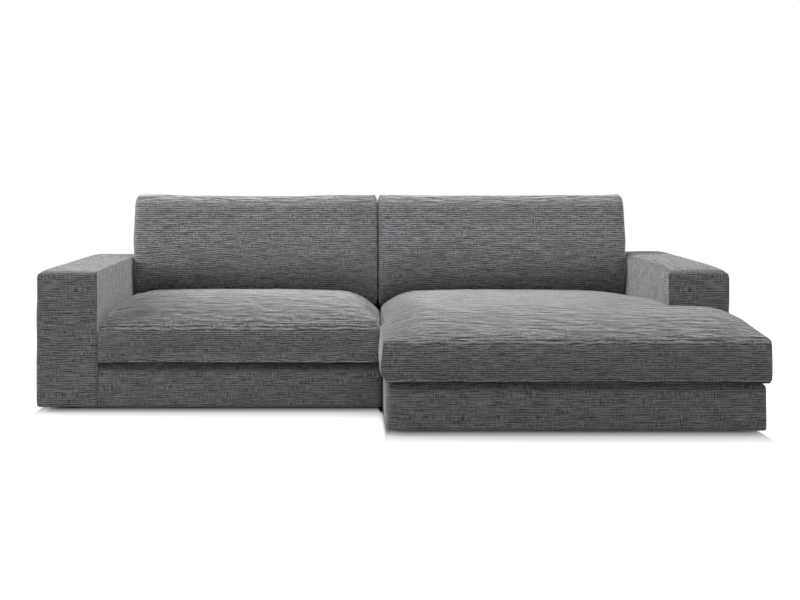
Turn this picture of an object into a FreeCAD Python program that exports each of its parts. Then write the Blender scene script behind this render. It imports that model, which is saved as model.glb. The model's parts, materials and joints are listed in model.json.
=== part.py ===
import FreeCAD, Part
import math
import os

# Sofa of two units joined side by side: a left unit with an arm, and a chaise unit
# whose seat runs forward and widens in front of its own arm. Millimetres, +Z up.
# The origin is under the middle of the whole sofa, on the floor. -Y is the front.

# Overall sizes
unit_width = 1458.0
unit_gap = 1.0
left_depth = 1070.0
chaise_depth = 1500.0
foot_height = 20.0
base_height = 185.0
arm_height = 574.0
arm_width = 258.0
back_height = 574.0

# Upholstery
cover_thickness = 2.0
base_foam_thickness = 12.0
deck_felt_thickness = 10.0
arm_foam_top = 20.0
arm_foam_inner = 20.0
back_foam_front = 28.0
back_foam_top = 15.0
rear_wadding = 5.0
cover_lip = 60.0
dust_cover_thickness = 1.5

# Roundings of the upholstery
arm_outer_top_radius = 40.0
arm_inner_top_radius = 8.0
arm_front_radius = 12.0
base_plan_radius = 25.0
base_top_radius = 25.0
bottom_radius = 12.0
back_top_radius = 25.0

# Timber frame
rail_thickness = 25.0
cross_rail_height = 110.0
tenon_length = 12.0
tenon_thickness = 12.0
tenon_shoulder = 20.0
tenon_clearance = 0.2
corner_block_leg = 60.0
corner_block_length = 160.0
corner_block_height = 100.0
end_board_thickness = 18.0
top_board_thickness = 12.0
side_panel_thickness = 3.0
foot_rail_height = 18.0
bolting_rail_height = 130.0
back_rail_thickness = 25.0
back_lower_rail_height = 60.0
back_lower_rail_thickness = 22.0
back_lower_rail_lift = 10.0

# Raked back, measured across the covered back
back_thickness_at_deck = 177.0
back_thickness_at_top = 95.0

# Elastic webbing
strap_width = 70.0
strap_thickness = 1.5
strap_tack = 18.0
strap_end_margin = 5.0
cross_strap_count = 4
long_strap_count = 6
lobe_strap_count = 3
back_strap_count = 6

# Feet and fasteners. Small round pieces and their holes have flats, which keeps the model light.
fastener_side_count = 8
foot_width = 60.0
foot_taper = 5.0
foot_side_inset = 16.0
foot_inset = 92.0
arm_foot_inset = 125.0
screw_radius = 2.4
screw_head_radius = 5.0
screw_head_height = 3.0
screw_length = 32.0
screw_clearance = 0.25
foot_recess_radius = 7.0
foot_recess_depth = 9.0
bolt_radius = 4.0
bolt_head_radius = 10.0
bolt_head_height = 4.0
bolt_clearance = 0.4
bolt_height = 80.0
bolt_inset = 220.0
nut_width = 17.0
nut_height = 8.0
nut_side_count = 6

# Link fittings under the joint of the units
tongue_width = 44.0
tongue_thickness = 3.4
tongue_reach = 50.0
tongue_flange_width = 96.0
link_wall = 2.0
link_clearance = 0.3
link_length = 54.0
link_mouth = 6.0
link_screw_spread = 38.0
link_front_inset = 250.0
link_rear_inset = 260.0

# Loose cushions
soft_gap = 0.3
side_gap = 2.0
seat_side_height = 175.0
seat_crown = 68.0
seat_crown_run = 150.0
seat_roll_length = 170.0
side_draw = 6.0
cushion_overhang_front = 12.0
cushion_overhang_side = 24.0
lobe_start_drop = 1.5
lobe_end_crown = 30.0
lobe_crown_run = 120.0
back_cushion_top = 890.0
back_cushion_side_depth = 150.0
back_cushion_crown = 65.0
back_cushion_crown_run = 150.0
back_cushion_taper = 4.0
back_cushion_gap = 3.0
back_cushion_flat_count = 4
cushion_cover_thickness = 3.0

# How far a cutting block reaches past what it cuts
cut_margin = 1.0

# Positions that follow from the sizes
total_width = 2 * unit_width + unit_gap + cushion_overhang_side
total_depth = chaise_depth + cushion_overhang_front
x_left = -total_width / 2
x_left_joint = x_left + unit_width
x_chaise_joint = x_left_joint + unit_gap
y_back = total_depth / 2
y_left_front = y_back - left_depth
y_chaise_front = y_back - chaise_depth
seat_width = unit_width - arm_width
z_base = foot_height
z_deck = foot_height + base_height
z_arm = foot_height + arm_height
z_back = foot_height + back_height
z_rail_bottom = z_base + cover_thickness
z_rail_top = z_deck - cover_thickness - deck_felt_thickness - 2 * strap_thickness
rail_inset = cover_thickness + base_foam_thickness
rear_inset = cover_thickness + rear_wadding
y_rear_rail = y_back - rear_inset - rail_thickness
rake = math.atan2(back_thickness_at_deck - back_thickness_at_top, z_back - z_deck)
z_seam = z_deck + soft_gap + seat_side_height
z_crown = z_seam + seat_crown
seat_rail_inner = rail_inset + rail_thickness
arm_rail_inner = seat_width - rail_thickness


def vec(x, y, z):
    return FreeCAD.Vector(x, y, z)


def box(x0, x1, y0, y1, z0, z1):
    """Block between two corners, given in any order along x."""
    low = min(x0, x1)
    return Part.makeBox(abs(x1 - x0), y1 - y0, z1 - z0, vec(low, y0, z0))


def group(solids):
    return Part.makeCompound(solids)


def drilled(shape, tools):
    """Shape with each of the tools cut out of it."""
    for tool in tools:
        shape = shape.cut(tool)
    return shape


def arc(start, middle, end):
    return Part.Arc(start, middle, end).toShape()


def line(start, end):
    return Part.LineSegment(start, end).toShape()


def outline(corners, place):
    """Closed wire round corners (a, b, radius); place turns a flat point into a space point."""
    count = len(corners)
    stops = []
    for index, (a, b, radius) in enumerate(corners):
        here = vec(a, b, 0)
        before = vec(corners[index - 1][0], corners[index - 1][1], 0) - here
        after_corner = corners[(index + 1) % count]
        after = vec(after_corner[0], after_corner[1], 0) - here
        if radius <= 0:
            stops.append((here, None, here))
            continue
        half = before.getAngle(after) / 2
        reach = radius / math.tan(half)
        start = here + before.normalize() * reach
        end = here + after.normalize() * reach
        inward = (before + after).normalize()
        middle = here + inward * (radius / math.sin(half) - radius)
        stops.append((start, middle, end))
    edges = []
    for index, (start, middle, end) in enumerate(stops):
        following = stops[(index + 1) % count][0]
        if middle is not None:
            edges.append(arc(place(start.x, start.y), place(middle.x, middle.y), place(end.x, end.y)))
        if (following - end).Length > 1e-6:
            edges.append(line(place(end.x, end.y), place(following.x, following.y)))
    return Part.Wire(Part.__sortEdges__(edges))


def prism(corners, place, direction):
    """Solid swept along direction from the outline round corners."""
    return Part.Face(outline(corners, place)).extrude(direction)


def along_y(corners, y0, y1):
    return prism(corners, lambda a, b: vec(a, y0, b), vec(0, y1 - y0, 0))


def along_x(corners, x0, x1):
    return prism(corners, lambda a, b: vec(x0, a, b), vec(x1 - x0, 0, 0))


def along_z(corners, z0, z1):
    return prism(corners, lambda a, b: vec(a, b, z0), vec(0, 0, z1 - z0))


def ring(a, b, radius, count=fastener_side_count):
    """Corners of a regular outline, with flats square to the axes."""
    corners = []
    for index in range(count):
        turn = 2 * math.pi * (index + 0.5) / count
        corners.append((a + radius * math.cos(turn), b + radius * math.sin(turn), 0))
    return corners


def pin(x, y, z0, z1, radius):
    return along_z(ring(x, y, radius), z0, z1)


def sideways(x0, x1, y, z, radius):
    return along_x(ring(y, z, radius), x0, x1)


class Unit:
    """One unit of the sofa. s runs from its joint face outwards, to the arm side."""

    def __init__(self, name, side, x_joint, y_front):
        self.name = name
        self.side = side
        self.x_joint = x_joint
        self.y_front = y_front
        self.y_arm = y_left_front
        self.has_lobe = y_front < self.y_arm
        self.s_outer = unit_width if self.has_lobe else seat_width

    def x(self, s):
        return self.x_joint + self.side * s

    def box(self, s0, s1, y0, y1, z0, z1):
        return box(self.x(s0), self.x(s1), y0, y1, z0, z1)

    def along_y(self, corners, y0, y1):
        return along_y([(self.x(s), z, r) for s, z, r in corners], y0, y1)

    def along_x(self, corners, s0, s1):
        return along_x(corners, self.x(s0), self.x(s1))

    def along_z(self, corners, z0, z1):
        return along_z([(self.x(s), y, r) for s, y, r in corners], z0, z1)

    def sideways(self, s0, s1, y, z, radius):
        return sideways(self.x(s0), self.x(s1), y, z, radius)


left = Unit("left", -1, x_left_joint, y_left_front)
chaise = Unit("chaise", 1, x_chaise_joint, y_chaise_front)


# Seat box

def tenon(unit, s0, y_end, direction, z0, z1, clearance):
    """Tenon, or with a clearance its mortise, on the end of a rail that runs front to rear."""
    middle = s0 + rail_thickness / 2
    half = tenon_thickness / 2 + clearance
    y0 = min(y_end, y_end + direction * (tenon_length + clearance))
    y1 = max(y_end, y_end + direction * (tenon_length + clearance))
    low = z0 + tenon_shoulder - clearance
    high = z1 - tenon_shoulder + clearance
    return unit.box(middle - half, middle + half, y0, y1, low, high)


def running_rails(unit):
    """Inner faces, heights of the rails that run from the front rail to the rear rail."""
    tall = z_rail_top
    low = z_rail_bottom + cross_rail_height
    rails = {"joint": (rail_inset, tall), "arm": (arm_rail_inner, tall)}
    rails["cross"] = (seat_width / 2 - rail_thickness / 2, low)
    return rails


def running_rail(unit, key):
    s0, top = running_rails(unit)[key]
    y0 = unit.y_front + rail_inset + rail_thickness
    rail = unit.box(s0, s0 + rail_thickness, y0, y_rear_rail, z_rail_bottom, top)
    front = tenon(unit, s0, y0, -1, z_rail_bottom, top, 0)
    rear = tenon(unit, s0, y_rear_rail, 1, z_rail_bottom, top, 0)
    return rail.fuse([front, rear]).removeSplitter()


def mortises(unit, y_end, direction):
    cuts = []
    for s0, top in running_rails(unit).values():
        cuts.append(tenon(unit, s0, y_end, direction, z_rail_bottom, top, tenon_clearance))
    return cuts


def front_rail(unit):
    s1 = unit.s_outer - rail_inset if unit.has_lobe else seat_width
    y0 = unit.y_front + rail_inset
    y1 = y0 + rail_thickness
    rail = unit.box(rail_inset, s1, y0, y1, z_rail_bottom, z_rail_top)
    return drilled(rail, mortises(unit, y1, -1))


def rear_rail(unit):
    y1 = y_rear_rail + rail_thickness
    rail = unit.box(rail_inset, seat_width, y_rear_rail, y1, z_rail_bottom, z_rail_top)
    return drilled(rail, mortises(unit, y_rear_rail, 1))


def lobe_rails(unit):
    """Rails round the part of the chaise in front of its arm."""
    y0 = unit.y_front + rail_inset + rail_thickness
    s1 = unit.s_outer - rail_inset
    s0 = s1 - rail_thickness
    outer = unit.box(s0, s1, y0, unit.y_arm, z_rail_bottom, z_rail_top)
    y_return = unit.y_arm - rail_thickness
    back = unit.box(seat_width, s0, y_return, unit.y_arm, z_rail_bottom, z_rail_top)
    return [outer, back]


def side_rails(unit):
    rails = [running_rail(unit, "joint"), drilled(running_rail(unit, "arm"), bolt_holes(unit))]
    if unit.has_lobe:
        rails += lobe_rails(unit)
    joint = drilled(rails[0], link_screw_holes(unit))
    return group([joint] + rails[1:])


def block_corners(unit):
    """Inner corners of the seat box: s, y and the direction in which the block runs."""
    y_front = unit.y_front + rail_inset + rail_thickness
    corners = [
        (seat_rail_inner, y_front, 1, 1),
        (arm_rail_inner, y_front, -1, 1),
        (seat_rail_inner + rail_thickness, y_rear_rail, 1, -1),
        (arm_rail_inner - rail_thickness, y_rear_rail, -1, -1),
    ]
    if unit.has_lobe:
        corners.append((unit.s_outer - rail_inset - rail_thickness, y_front, -1, 1))
    return corners


def corner_blocks(unit):
    blocks = []
    z1 = z_rail_bottom + corner_block_height
    for s, y, toward_s, toward_y in block_corners(unit):
        corners = [(s, y, 0), (s + toward_s * corner_block_leg, y, 0)]
        corners.append((s, y + toward_y * corner_block_length, 0))
        blocks.append(unit.along_z(corners, z_rail_bottom, z1))
    return group([drilled(block, foot_screw_holes(unit)) for block in blocks])


# Feet and their screws

def foot_places(unit):
    """Middle of each foot, as s and y."""
    places = []
    for s, y, toward_s, toward_y in block_corners(unit):
        if s < seat_width / 2 or s > seat_width:
            places.append((s + toward_s * foot_side_inset, y + toward_y * foot_inset))
    s_arm = seat_width + arm_width / 2
    places.append((s_arm, unit.y_arm + arm_foot_inset))
    places.append((s_arm, y_back - arm_foot_inset))
    places.append((seat_width / 2, (unit.y_front + y_rear_rail) / 2))
    return places


def foot_screw_holes(unit):
    radius = screw_radius + screw_clearance
    holes = []
    for s, y in foot_places(unit):
        top = foot_recess_depth + screw_length + screw_clearance
        holes.append(pin(unit.x(s), y, 0, top, radius))
    return holes


def foot(unit, s, y):
    """Low moulded glide that narrows to the floor, with a recess for its screw."""
    half = foot_width / 2
    wires = []
    for z, reach in ((0.0, half - foot_taper), (foot_height, half)):
        corners = [(-reach, -reach, 0), (reach, -reach, 0), (reach, reach, 0), (-reach, reach, 0)]
        wires.append(outline(corners, lambda a, b, z=z: vec(unit.x(s) + a, y + b, z)))
    glide = Part.makeLoft(wires, True, True)
    return glide.cut(pin(unit.x(s), y, 0, foot_recess_depth, foot_recess_radius))


def feet(unit):
    glides = [foot(unit, s, y) for s, y in foot_places(unit)]
    return group([drilled(glide, foot_screw_holes(unit)) for glide in glides])


def wood_screw(x, y, z_seat):
    """Screw driven upwards, its head under z_seat."""
    wires = []
    for z, radius in ((z_seat - screw_head_height, screw_head_radius), (z_seat, screw_radius)):
        wires.append(outline(ring(x, y, radius), lambda a, b, z=z: vec(a, b, z)))
    head = Part.makeLoft(wires, True, True)
    shank = pin(x, y, z_seat, z_seat + screw_length, screw_radius)
    return head.fuse(shank).removeSplitter()


def link_screw_places(unit):
    places = []
    for y in link_places():
        for offset in (-link_screw_spread, link_screw_spread):
            places.append((rail_inset + rail_thickness / 2, y + offset))
    return places


def base_screws(unit):
    """Screws of the feet and of the link fittings."""
    screws = [wood_screw(unit.x(s), y, foot_recess_depth) for s, y in foot_places(unit)]
    z_plate = z_base - tongue_thickness if unit.has_lobe else z_base - link_wall
    for s, y in link_screw_places(unit):
        screws.append(wood_screw(unit.x(s), y, z_plate))
    return group(screws)


def link_screw_holes(unit):
    radius = screw_radius + screw_clearance
    holes = []
    for s, y in link_screw_places(unit):
        holes.append(pin(unit.x(s), y, 0, z_base + screw_length + screw_clearance, radius))
    return holes


# Link fittings

def link_places():
    return (y_left_front + link_front_inset, y_back - link_rear_inset)


def link_socket(unit, y):
    """Flanged channel under the left unit, open towards the joint."""
    half_slot = tongue_width / 2 + link_clearance
    half_body = half_slot + link_wall
    half_flange = tongue_flange_width / 2
    z_slot_top = z_base - link_wall
    z_slot_bottom = z_slot_top - tongue_thickness - 2 * link_clearance
    z_bottom = z_slot_bottom - link_wall
    corners = [
        (y - half_flange, z_base, 0),
        (y - half_flange, z_slot_top, 0),
        (y - half_body, z_slot_top, 0),
        (y - half_body, z_bottom, 0),
        (y + half_body, z_bottom, 0),
        (y + half_body, z_slot_top, 0),
        (y + half_flange, z_slot_top, 0),
        (y + half_flange, z_base, 0),
    ]
    s1 = link_mouth + link_length
    body = unit.along_x(corners, link_mouth, s1)
    slot = unit.box(link_mouth, s1, y - half_slot, y + half_slot, z_slot_bottom, z_slot_top)
    return drilled(body.cut(slot), link_screw_holes(unit))


def link_tongue(unit, y):
    """Plate under the chaise unit, stepped down into a tongue that reaches across the joint."""
    z_tongue = z_base - link_wall - link_clearance
    step_start = link_mouth + tongue_thickness
    step_end = -unit_gap - tongue_thickness / 2
    flange_end = link_mouth + link_length
    corners = [
        (flange_end, z_base, 0),
        (step_start, z_base, 0),
        (step_end, z_tongue, 0),
        (-tongue_reach, z_tongue, 0),
        (-tongue_reach, z_tongue - tongue_thickness, 0),
        (step_end, z_tongue - tongue_thickness, 0),
        (step_start, z_base - tongue_thickness, 0),
        (flange_end, z_base - tongue_thickness, 0),
    ]
    plate = unit.along_y(corners, y - tongue_width / 2, y + tongue_width / 2)
    half = tongue_flange_width / 2
    flange = unit.box(step_start, flange_end, y - half, y + half, z_base - tongue_thickness, z_base)
    return drilled(plate.fuse(flange).removeSplitter(), link_screw_holes(unit))


def link(unit):
    make = link_tongue if unit.has_lobe else link_socket
    return group([make(unit, y) for y in link_places()])


# Base upholstery

def base_form(unit, inset):
    """Rounded block of the base, its closed sides drawn in by inset."""
    beyond = cut_margin if inset else 0.0
    y_rear = y_back - cover_thickness + beyond
    s_arm = seat_width + beyond
    s_far = unit.s_outer - inset if unit.has_lobe else s_arm
    y_front = unit.y_front + inset
    plan_radius = base_plan_radius - inset
    z0 = z_base + inset
    z1 = z_deck - inset
    low = bottom_radius - inset
    high = base_top_radius - inset
    plan = [(inset, y_rear, 0), (inset, y_front, plan_radius)]
    if unit.has_lobe:
        y_lobe = unit.y_arm + beyond
        plan += [(s_far, y_front, plan_radius), (s_far, y_lobe, 0), (s_arm, y_lobe, 0)]
        across = [(inset, z0, low), (s_far, z0, low), (s_far, z1, high), (inset, z1, high)]
    else:
        plan.append((s_far, y_front, 0))
        across = [(inset, z0, low), (s_far, z0, 0), (s_far, z1, 0), (inset, z1, high)]
    plan.append((s_arm, y_rear, 0))
    deep = [(y_front, z0, low), (y_rear, z0, 0), (y_rear, z1, 0), (y_front, z1, high)]
    form = unit.along_z(plan, z0, z1)
    form = form.common(unit.along_y(across, y_front, y_rear))
    return form.common(unit.along_x(deep, inset, s_far))


def joined(blocks):
    first = blocks[0]
    if len(blocks) == 1:
        return first
    return first.fuse(blocks[1:]).removeSplitter()


def seat_plan(unit, inset, z0, z1, y_rear):
    """Block that fills the seat's plan, drawn in by inset from its closed sides."""
    y_front = unit.y_front + inset
    blocks = [unit.box(inset, seat_width, y_front, y_rear, z0, z1)]
    if unit.has_lobe:
        blocks.append(unit.box(seat_width, unit.s_outer - inset, y_front, unit.y_arm, z0, z1))
    return joined(blocks)


def base_cover(unit):
    """Band of fabric round the base, turned in over the deck and under the rails."""
    skin = base_form(unit, 0).cut(base_form(unit, cover_thickness))
    y0 = unit.y_front + cover_lip
    z0 = z_base - cut_margin
    z1 = z_deck + cut_margin
    windows = [unit.box(cover_lip, seat_width + cut_margin, y0, y_back, z0, z1)]
    if unit.has_lobe:
        windows.append(unit.box(seat_width, unit.s_outer - cover_lip, y0, unit.y_arm + cut_margin, z0, z1))
    windows.append(unit.box(seat_rail_inner, seat_width, deck_rear(), y_back, z_rail_top, z1))
    skin = drilled(skin, windows)
    return drilled(skin, foot_screw_holes(unit) + link_screw_holes(unit))


def base_foam(unit):
    """Thin foam between the band and the outer faces of the rails."""
    z1 = z_deck - cover_thickness - deck_felt_thickness
    limits = seat_plan(unit, 0, z_base, z1, y_back - cover_thickness)
    core = seat_plan(unit, rail_inset, z_base, z_deck, y_back)
    return base_form(unit, cover_thickness).common(limits).cut(core)


def deck_rear():
    """Front edge of the back posts at the height of the deck."""
    return post_front(z_deck)


def deck_felt(unit):
    z1 = z_deck - cover_thickness
    limits = seat_plan(unit, 0, z1 - deck_felt_thickness, z1, deck_rear())
    return base_form(unit, cover_thickness).common(limits)


def deck_cover(unit):
    return seat_plan(unit, cover_lip, z_deck - cover_thickness, z_deck, deck_rear())


def dust_cover(unit):
    z0 = z_rail_bottom - dust_cover_thickness
    sheet = seat_plan(unit, cover_lip, z0, z_rail_bottom, y_rear_rail + rail_thickness)
    return drilled(sheet, foot_screw_holes(unit) + link_screw_holes(unit))


# Elastic webbing

def woven_strap(ends, crossings, levels, place, direction):
    """Strap that lies high or low at each crossing; its ends lie flat on the rails."""
    reach = strap_width / 2 + strap_end_margin
    path = [(ends[0], 0)]
    for position, level in zip(crossings, levels):
        path.append((position - reach, level))
        path.append((position + reach, level))
    path.append((ends[1], 0))
    lower = [(a, z_rail_top + level * strap_thickness, 0) for a, level in path]
    upper = [(a, b + strap_thickness, 0) for a, b, _ in reversed(lower)]
    return prism(lower + upper, place, direction)


def spread(start, end, count):
    """Evenly spaced places between two edges, with half a pitch at each end."""
    pitch = (end - start) / count
    return [start + pitch * (index + 0.5) for index in range(count)]


def seat_webbing(unit):
    """Straps from front to rear, woven with straps from side to side."""
    y_first = unit.y_front + seat_rail_inner
    y_ends = (y_first - strap_tack, y_rear_rail + strap_tack)
    s_ends = (seat_rail_inner - strap_tack, arm_rail_inner + strap_tack)
    s_places = spread(seat_rail_inner, arm_rail_inner, long_strap_count)
    y_places = spread(y_first, deck_rear(), cross_strap_count)
    half = strap_width / 2
    straps = []
    for row, s in enumerate(s_places):
        levels = [(row + column) % 2 for column in range(cross_strap_count)]
        place = lambda a, b, x0=unit.x(s) - half: vec(x0, a, b)
        straps.append(woven_strap(y_ends, y_places, levels, place, vec(strap_width, 0, 0)))
    for column, y in enumerate(y_places):
        levels = [(row + column + 1) % 2 for row in range(long_strap_count)]
        place = lambda a, b, y0=y - half: vec(unit.x(a), y0, b)
        straps.append(woven_strap(s_ends, s_places, levels, place, vec(0, strap_width, 0)))
    if unit.has_lobe:
        straps += lobe_straps(unit)
    return group(straps)


def lobe_straps(unit):
    """Straps across the part of the chaise in front of its arm."""
    s0 = arm_rail_inner + strap_tack + strap_end_margin
    s1 = unit.s_outer - seat_rail_inner + strap_tack
    z1 = z_rail_top + strap_thickness
    half = strap_width / 2
    places = spread(unit.y_front + seat_rail_inner, unit.y_arm - rail_thickness, lobe_strap_count)
    return [unit.box(s0, s1, y - half, y + half, z_rail_top, z1) for y in places]


# Raked back

def cover_front(z):
    """Front face of the covered back at a height."""
    return y_back - back_thickness_at_deck + (z - z_deck) * math.tan(rake)


def set_back(z, depth):
    """The same face moved in square to itself by a depth."""
    return cover_front(z) + depth / math.cos(rake)


def post_front(z):
    return set_back(z, cover_thickness + back_foam_front + strap_thickness)


def post_top():
    return z_back - cover_thickness - back_foam_top - back_rail_thickness


def lower_rail_corners():
    z0 = z_deck + back_lower_rail_lift
    z1 = z0 + back_lower_rail_height
    front = [(post_front(z0), z0, 0), (post_front(z1), z1, 0)]
    rear = [(y + back_lower_rail_thickness, z, 0) for y, z, _ in reversed(front)]
    return front + rear


def back_posts(unit):
    """Raked posts, lapped over the rear rail and notched for the lower rail."""
    y1 = y_back - rear_inset
    z1 = post_top()
    corners = [
        (post_front(z_deck), z_rail_bottom, 0),
        (y_rear_rail, z_rail_bottom, 0),
        (y_rear_rail, z_rail_top, 0),
        (y1, z_rail_top, 0),
        (y1, z1, 0),
        (post_front(z1), z1, 0),
        (post_front(z_deck), z_deck, 0),
    ]
    s_middle = seat_width / 2 + rail_thickness / 2
    starts = (seat_rail_inner, s_middle, arm_rail_inner - rail_thickness)
    notch = unit.along_x(lower_rail_corners(), 0, seat_width)
    return group([unit.along_x(corners, s0, s0 + rail_thickness).cut(notch) for s0 in starts])


def back_rails(unit):
    """Top rail on the posts and lower rail let into their front edges."""
    z0 = post_top()
    z1 = z0 + back_rail_thickness
    y1 = y_back - rear_inset
    top = [(post_front(z0), z0, 0), (post_front(z1), z1, 0), (y1, z1, 0), (y1, z0, 0)]
    s0 = rail_inset
    s1 = seat_width - cover_thickness
    return group([unit.along_x(top, s0, s1), unit.along_x(lower_rail_corners(), s0, s1)])


def back_webbing(unit):
    """Straps from the lower rail to the top rail."""
    z0 = z_deck + back_lower_rail_lift + strap_end_margin
    z1 = post_top() + back_rail_thickness - strap_end_margin
    depth = strap_thickness / math.cos(rake)
    rear = [(post_front(z0), z0, 0), (post_front(z1), z1, 0)]
    front = [(y - depth, z, 0) for y, z, _ in reversed(rear)]
    half = strap_width / 2
    places = spread(seat_rail_inner, arm_rail_inner, back_strap_count)
    return group([unit.along_x(rear + front, s - half, s + half) for s in places])


def back_form(unit, inset):
    """Covered back above the deck; with an inset it is open below."""
    z0 = z_deck - inset
    z1 = z_back - inset
    radius = back_top_radius - inset
    y1 = y_back - inset
    corners = [(set_back(z0, inset), z0, 0), (set_back(z1, inset), z1, radius), (y1, z1, radius), (y1, z0, 0)]
    return unit.along_x(corners, inset, seat_width - inset)


def back_cover(unit):
    skin = back_form(unit, 0).cut(back_form(unit, cover_thickness))
    panel = unit.box(0, seat_width, y_back - cover_thickness, y_back, z_base, z_deck)
    return skin.fuse(panel).removeSplitter()


def back_foam(unit):
    """Foam over the straps and the top rail, with a thin wadding behind."""
    z1 = z_back - cover_thickness - back_foam_top
    z0 = z_deck - cover_thickness
    y1 = y_back - rear_inset
    depth = cover_thickness + back_foam_front
    frame = [(set_back(z0, depth), z0, 0), (set_back(z1, depth), z1, 0), (y1, z1, 0), (y1, z0, 0)]
    limit = unit.box(0, seat_width, y_back - back_thickness_at_deck, y_back, z_deck, z_back)
    foam = back_form(unit, cover_thickness).common(limit)
    return foam.cut(unit.along_x(frame, rail_inset, seat_width - cover_thickness))


# Arm

def arm_form(unit, inset):
    """Rounded block of the arm, drawn in by inset all round."""
    s0 = seat_width + inset
    s1 = unit_width - inset
    y0 = unit.y_arm + inset
    y1 = y_back - inset
    z0 = z_base + inset
    z1 = z_arm - inset
    inner = arm_inner_top_radius - inset
    outer = arm_outer_top_radius - inset
    low = bottom_radius - inset
    front = arm_front_radius - inset
    across = [(s0, z0, 0), (s1, z0, low), (s1, z1, outer), (s0, z1, inner)]
    plan = [(s0, y0, 0), (s1, y0, front), (s1, y1, front), (s0, y1, 0)]
    deep = [(y0, z0, 0), (y1, z0, 0), (y1, z1, front), (y0, z1, front)]
    form = unit.along_y(across, y0, y1).common(unit.along_z(plan, z0, z1))
    return form.common(unit.along_x(deep, s0, s1))


def arm_frame_limits(unit):
    """Faces of the arm's timber frame: inner and outer s, front and rear y, top z."""
    s0 = seat_width + cover_thickness + arm_foam_inner
    s1 = unit_width - rail_inset
    y0 = unit.y_arm + rail_inset
    y1 = y_back - rear_inset
    z1 = z_arm - cover_thickness - arm_foam_top
    return s0, s1, y0, y1, z1


def arm_end_boards(unit):
    """Boards cut to the arm's outline, wider below the deck where the arm is bolted on."""
    s0, s1, y0, y1, z1 = arm_frame_limits(unit)
    top = z1 - top_board_thickness
    inner = s0 + side_panel_thickness
    outer = s1 - side_panel_thickness
    foot = seat_width + cover_thickness
    corners = [
        (foot, z_rail_bottom, 0),
        (outer, z_rail_bottom, 0),
        (outer, top, 0),
        (inner, top, 0),
        (inner, z_deck, 0),
        (foot, z_deck, 0),
    ]
    t = end_board_thickness
    return group([unit.along_y(corners, y0, y0 + t), unit.along_y(corners, y1 - t, y1)])


def arm_top_board(unit):
    s0, s1, y0, y1, z1 = arm_frame_limits(unit)
    return unit.box(s0, s1, y0, y1, z1 - top_board_thickness, z1)


def arm_side_panels(unit):
    s0, s1, y0, y1, z1 = arm_frame_limits(unit)
    top = z1 - top_board_thickness
    inner = unit.box(s0, s0 + side_panel_thickness, y0, y1, z_deck, top)
    outer = unit.box(s1 - side_panel_thickness, s1, y0, y1, z_rail_bottom, top)
    return group([inner, outer])


def bolting_rail_inner():
    """Inner face of the arm's bolting rail, away from the seat box."""
    return seat_width + cover_thickness + arm_foam_inner + side_panel_thickness


def arm_rails(unit):
    """Rail that takes the bolts and rail that takes the feet, between the end boards."""
    _, s1, y0, y1, _ = arm_frame_limits(unit)
    y0 += end_board_thickness
    y1 -= end_board_thickness
    inner = bolting_rail_inner()
    outer = s1 - side_panel_thickness
    z0 = z_rail_bottom
    bolting = unit.box(seat_width + cover_thickness, inner, y0, y1, z0, z0 + bolting_rail_height)
    footing = unit.box(inner, outer, y0, y1, z0, z0 + foot_rail_height)
    return group([drilled(bolting, bolt_holes(unit)), drilled(footing, foot_screw_holes(unit))])


def arm_foam(unit):
    s0, s1, y0, y1, z1 = arm_frame_limits(unit)
    form = arm_form(unit, cover_thickness)
    frame = unit.box(s0, s1, y0, y1, z_base, z1)
    footing = unit.box(seat_width, s0, y0, y1, z_base, z_deck)
    return form.cut(joined([frame, footing]))


def arm_cover(unit):
    skin = arm_form(unit, 0).cut(arm_form(unit, cover_thickness))
    return drilled(skin, foot_screw_holes(unit) + bolt_holes(unit))


def bolt_places(unit):
    return (unit.y_arm + bolt_inset, y_back - bolt_inset)


def bolt_holes(unit):
    z = z_rail_bottom + bolt_height
    radius = bolt_radius + bolt_clearance
    return [unit.sideways(arm_rail_inner, bolting_rail_inner(), y, z, radius) for y in bolt_places(unit)]


def arm_bolts(unit):
    """Bolts from the seat box into the arm, each with a nut."""
    z = z_rail_bottom + bolt_height
    s0 = arm_rail_inner
    s1 = bolting_rail_inner()
    s2 = s1 + nut_height
    pieces = []
    for y in bolt_places(unit):
        head = unit.sideways(s0 - bolt_head_height, s0, y, z, bolt_head_radius)
        shank = unit.sideways(s0, s2, y, z, bolt_radius)
        nut = unit.along_x(ring(y, z, nut_width / math.sqrt(3), nut_side_count), s1, s2)
        hole = unit.sideways(s1, s2, y, z, bolt_radius + bolt_clearance)
        pieces += [head.fuse(shank).removeSplitter(), nut.cut(hole)]
    return group(pieces)


# Loose cushions

def crest_centre(top, foot):
    """Radius and angle of an arc that leaves the crown level at top and ends on the seam at foot."""
    run = abs(foot[0] - top[0])
    rise = top[1] - foot[1]
    radius = (run * run + rise * rise) / (2 * rise)
    return radius, math.atan2(run, radius - rise)


def crest_point(top, foot, share, reach=1.0):
    """Point a share of the way along that arc, at reach times its radius from its centre."""
    radius, angle = crest_centre(top, foot)
    across = math.copysign(reach * radius * math.sin(share * angle), foot[0] - top[0])
    return (top[0] + across, top[1] - radius + reach * radius * math.cos(share * angle))


def rounded(start, middle, end, flats):
    """Arc through three points, or as many flats that follow it."""
    curve = arc(start, middle, end)
    if flats == 0:
        return [curve]
    points = curve.discretize(flats + 1)
    return [line(a, b) for a, b in zip(points, points[1:])]


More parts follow.
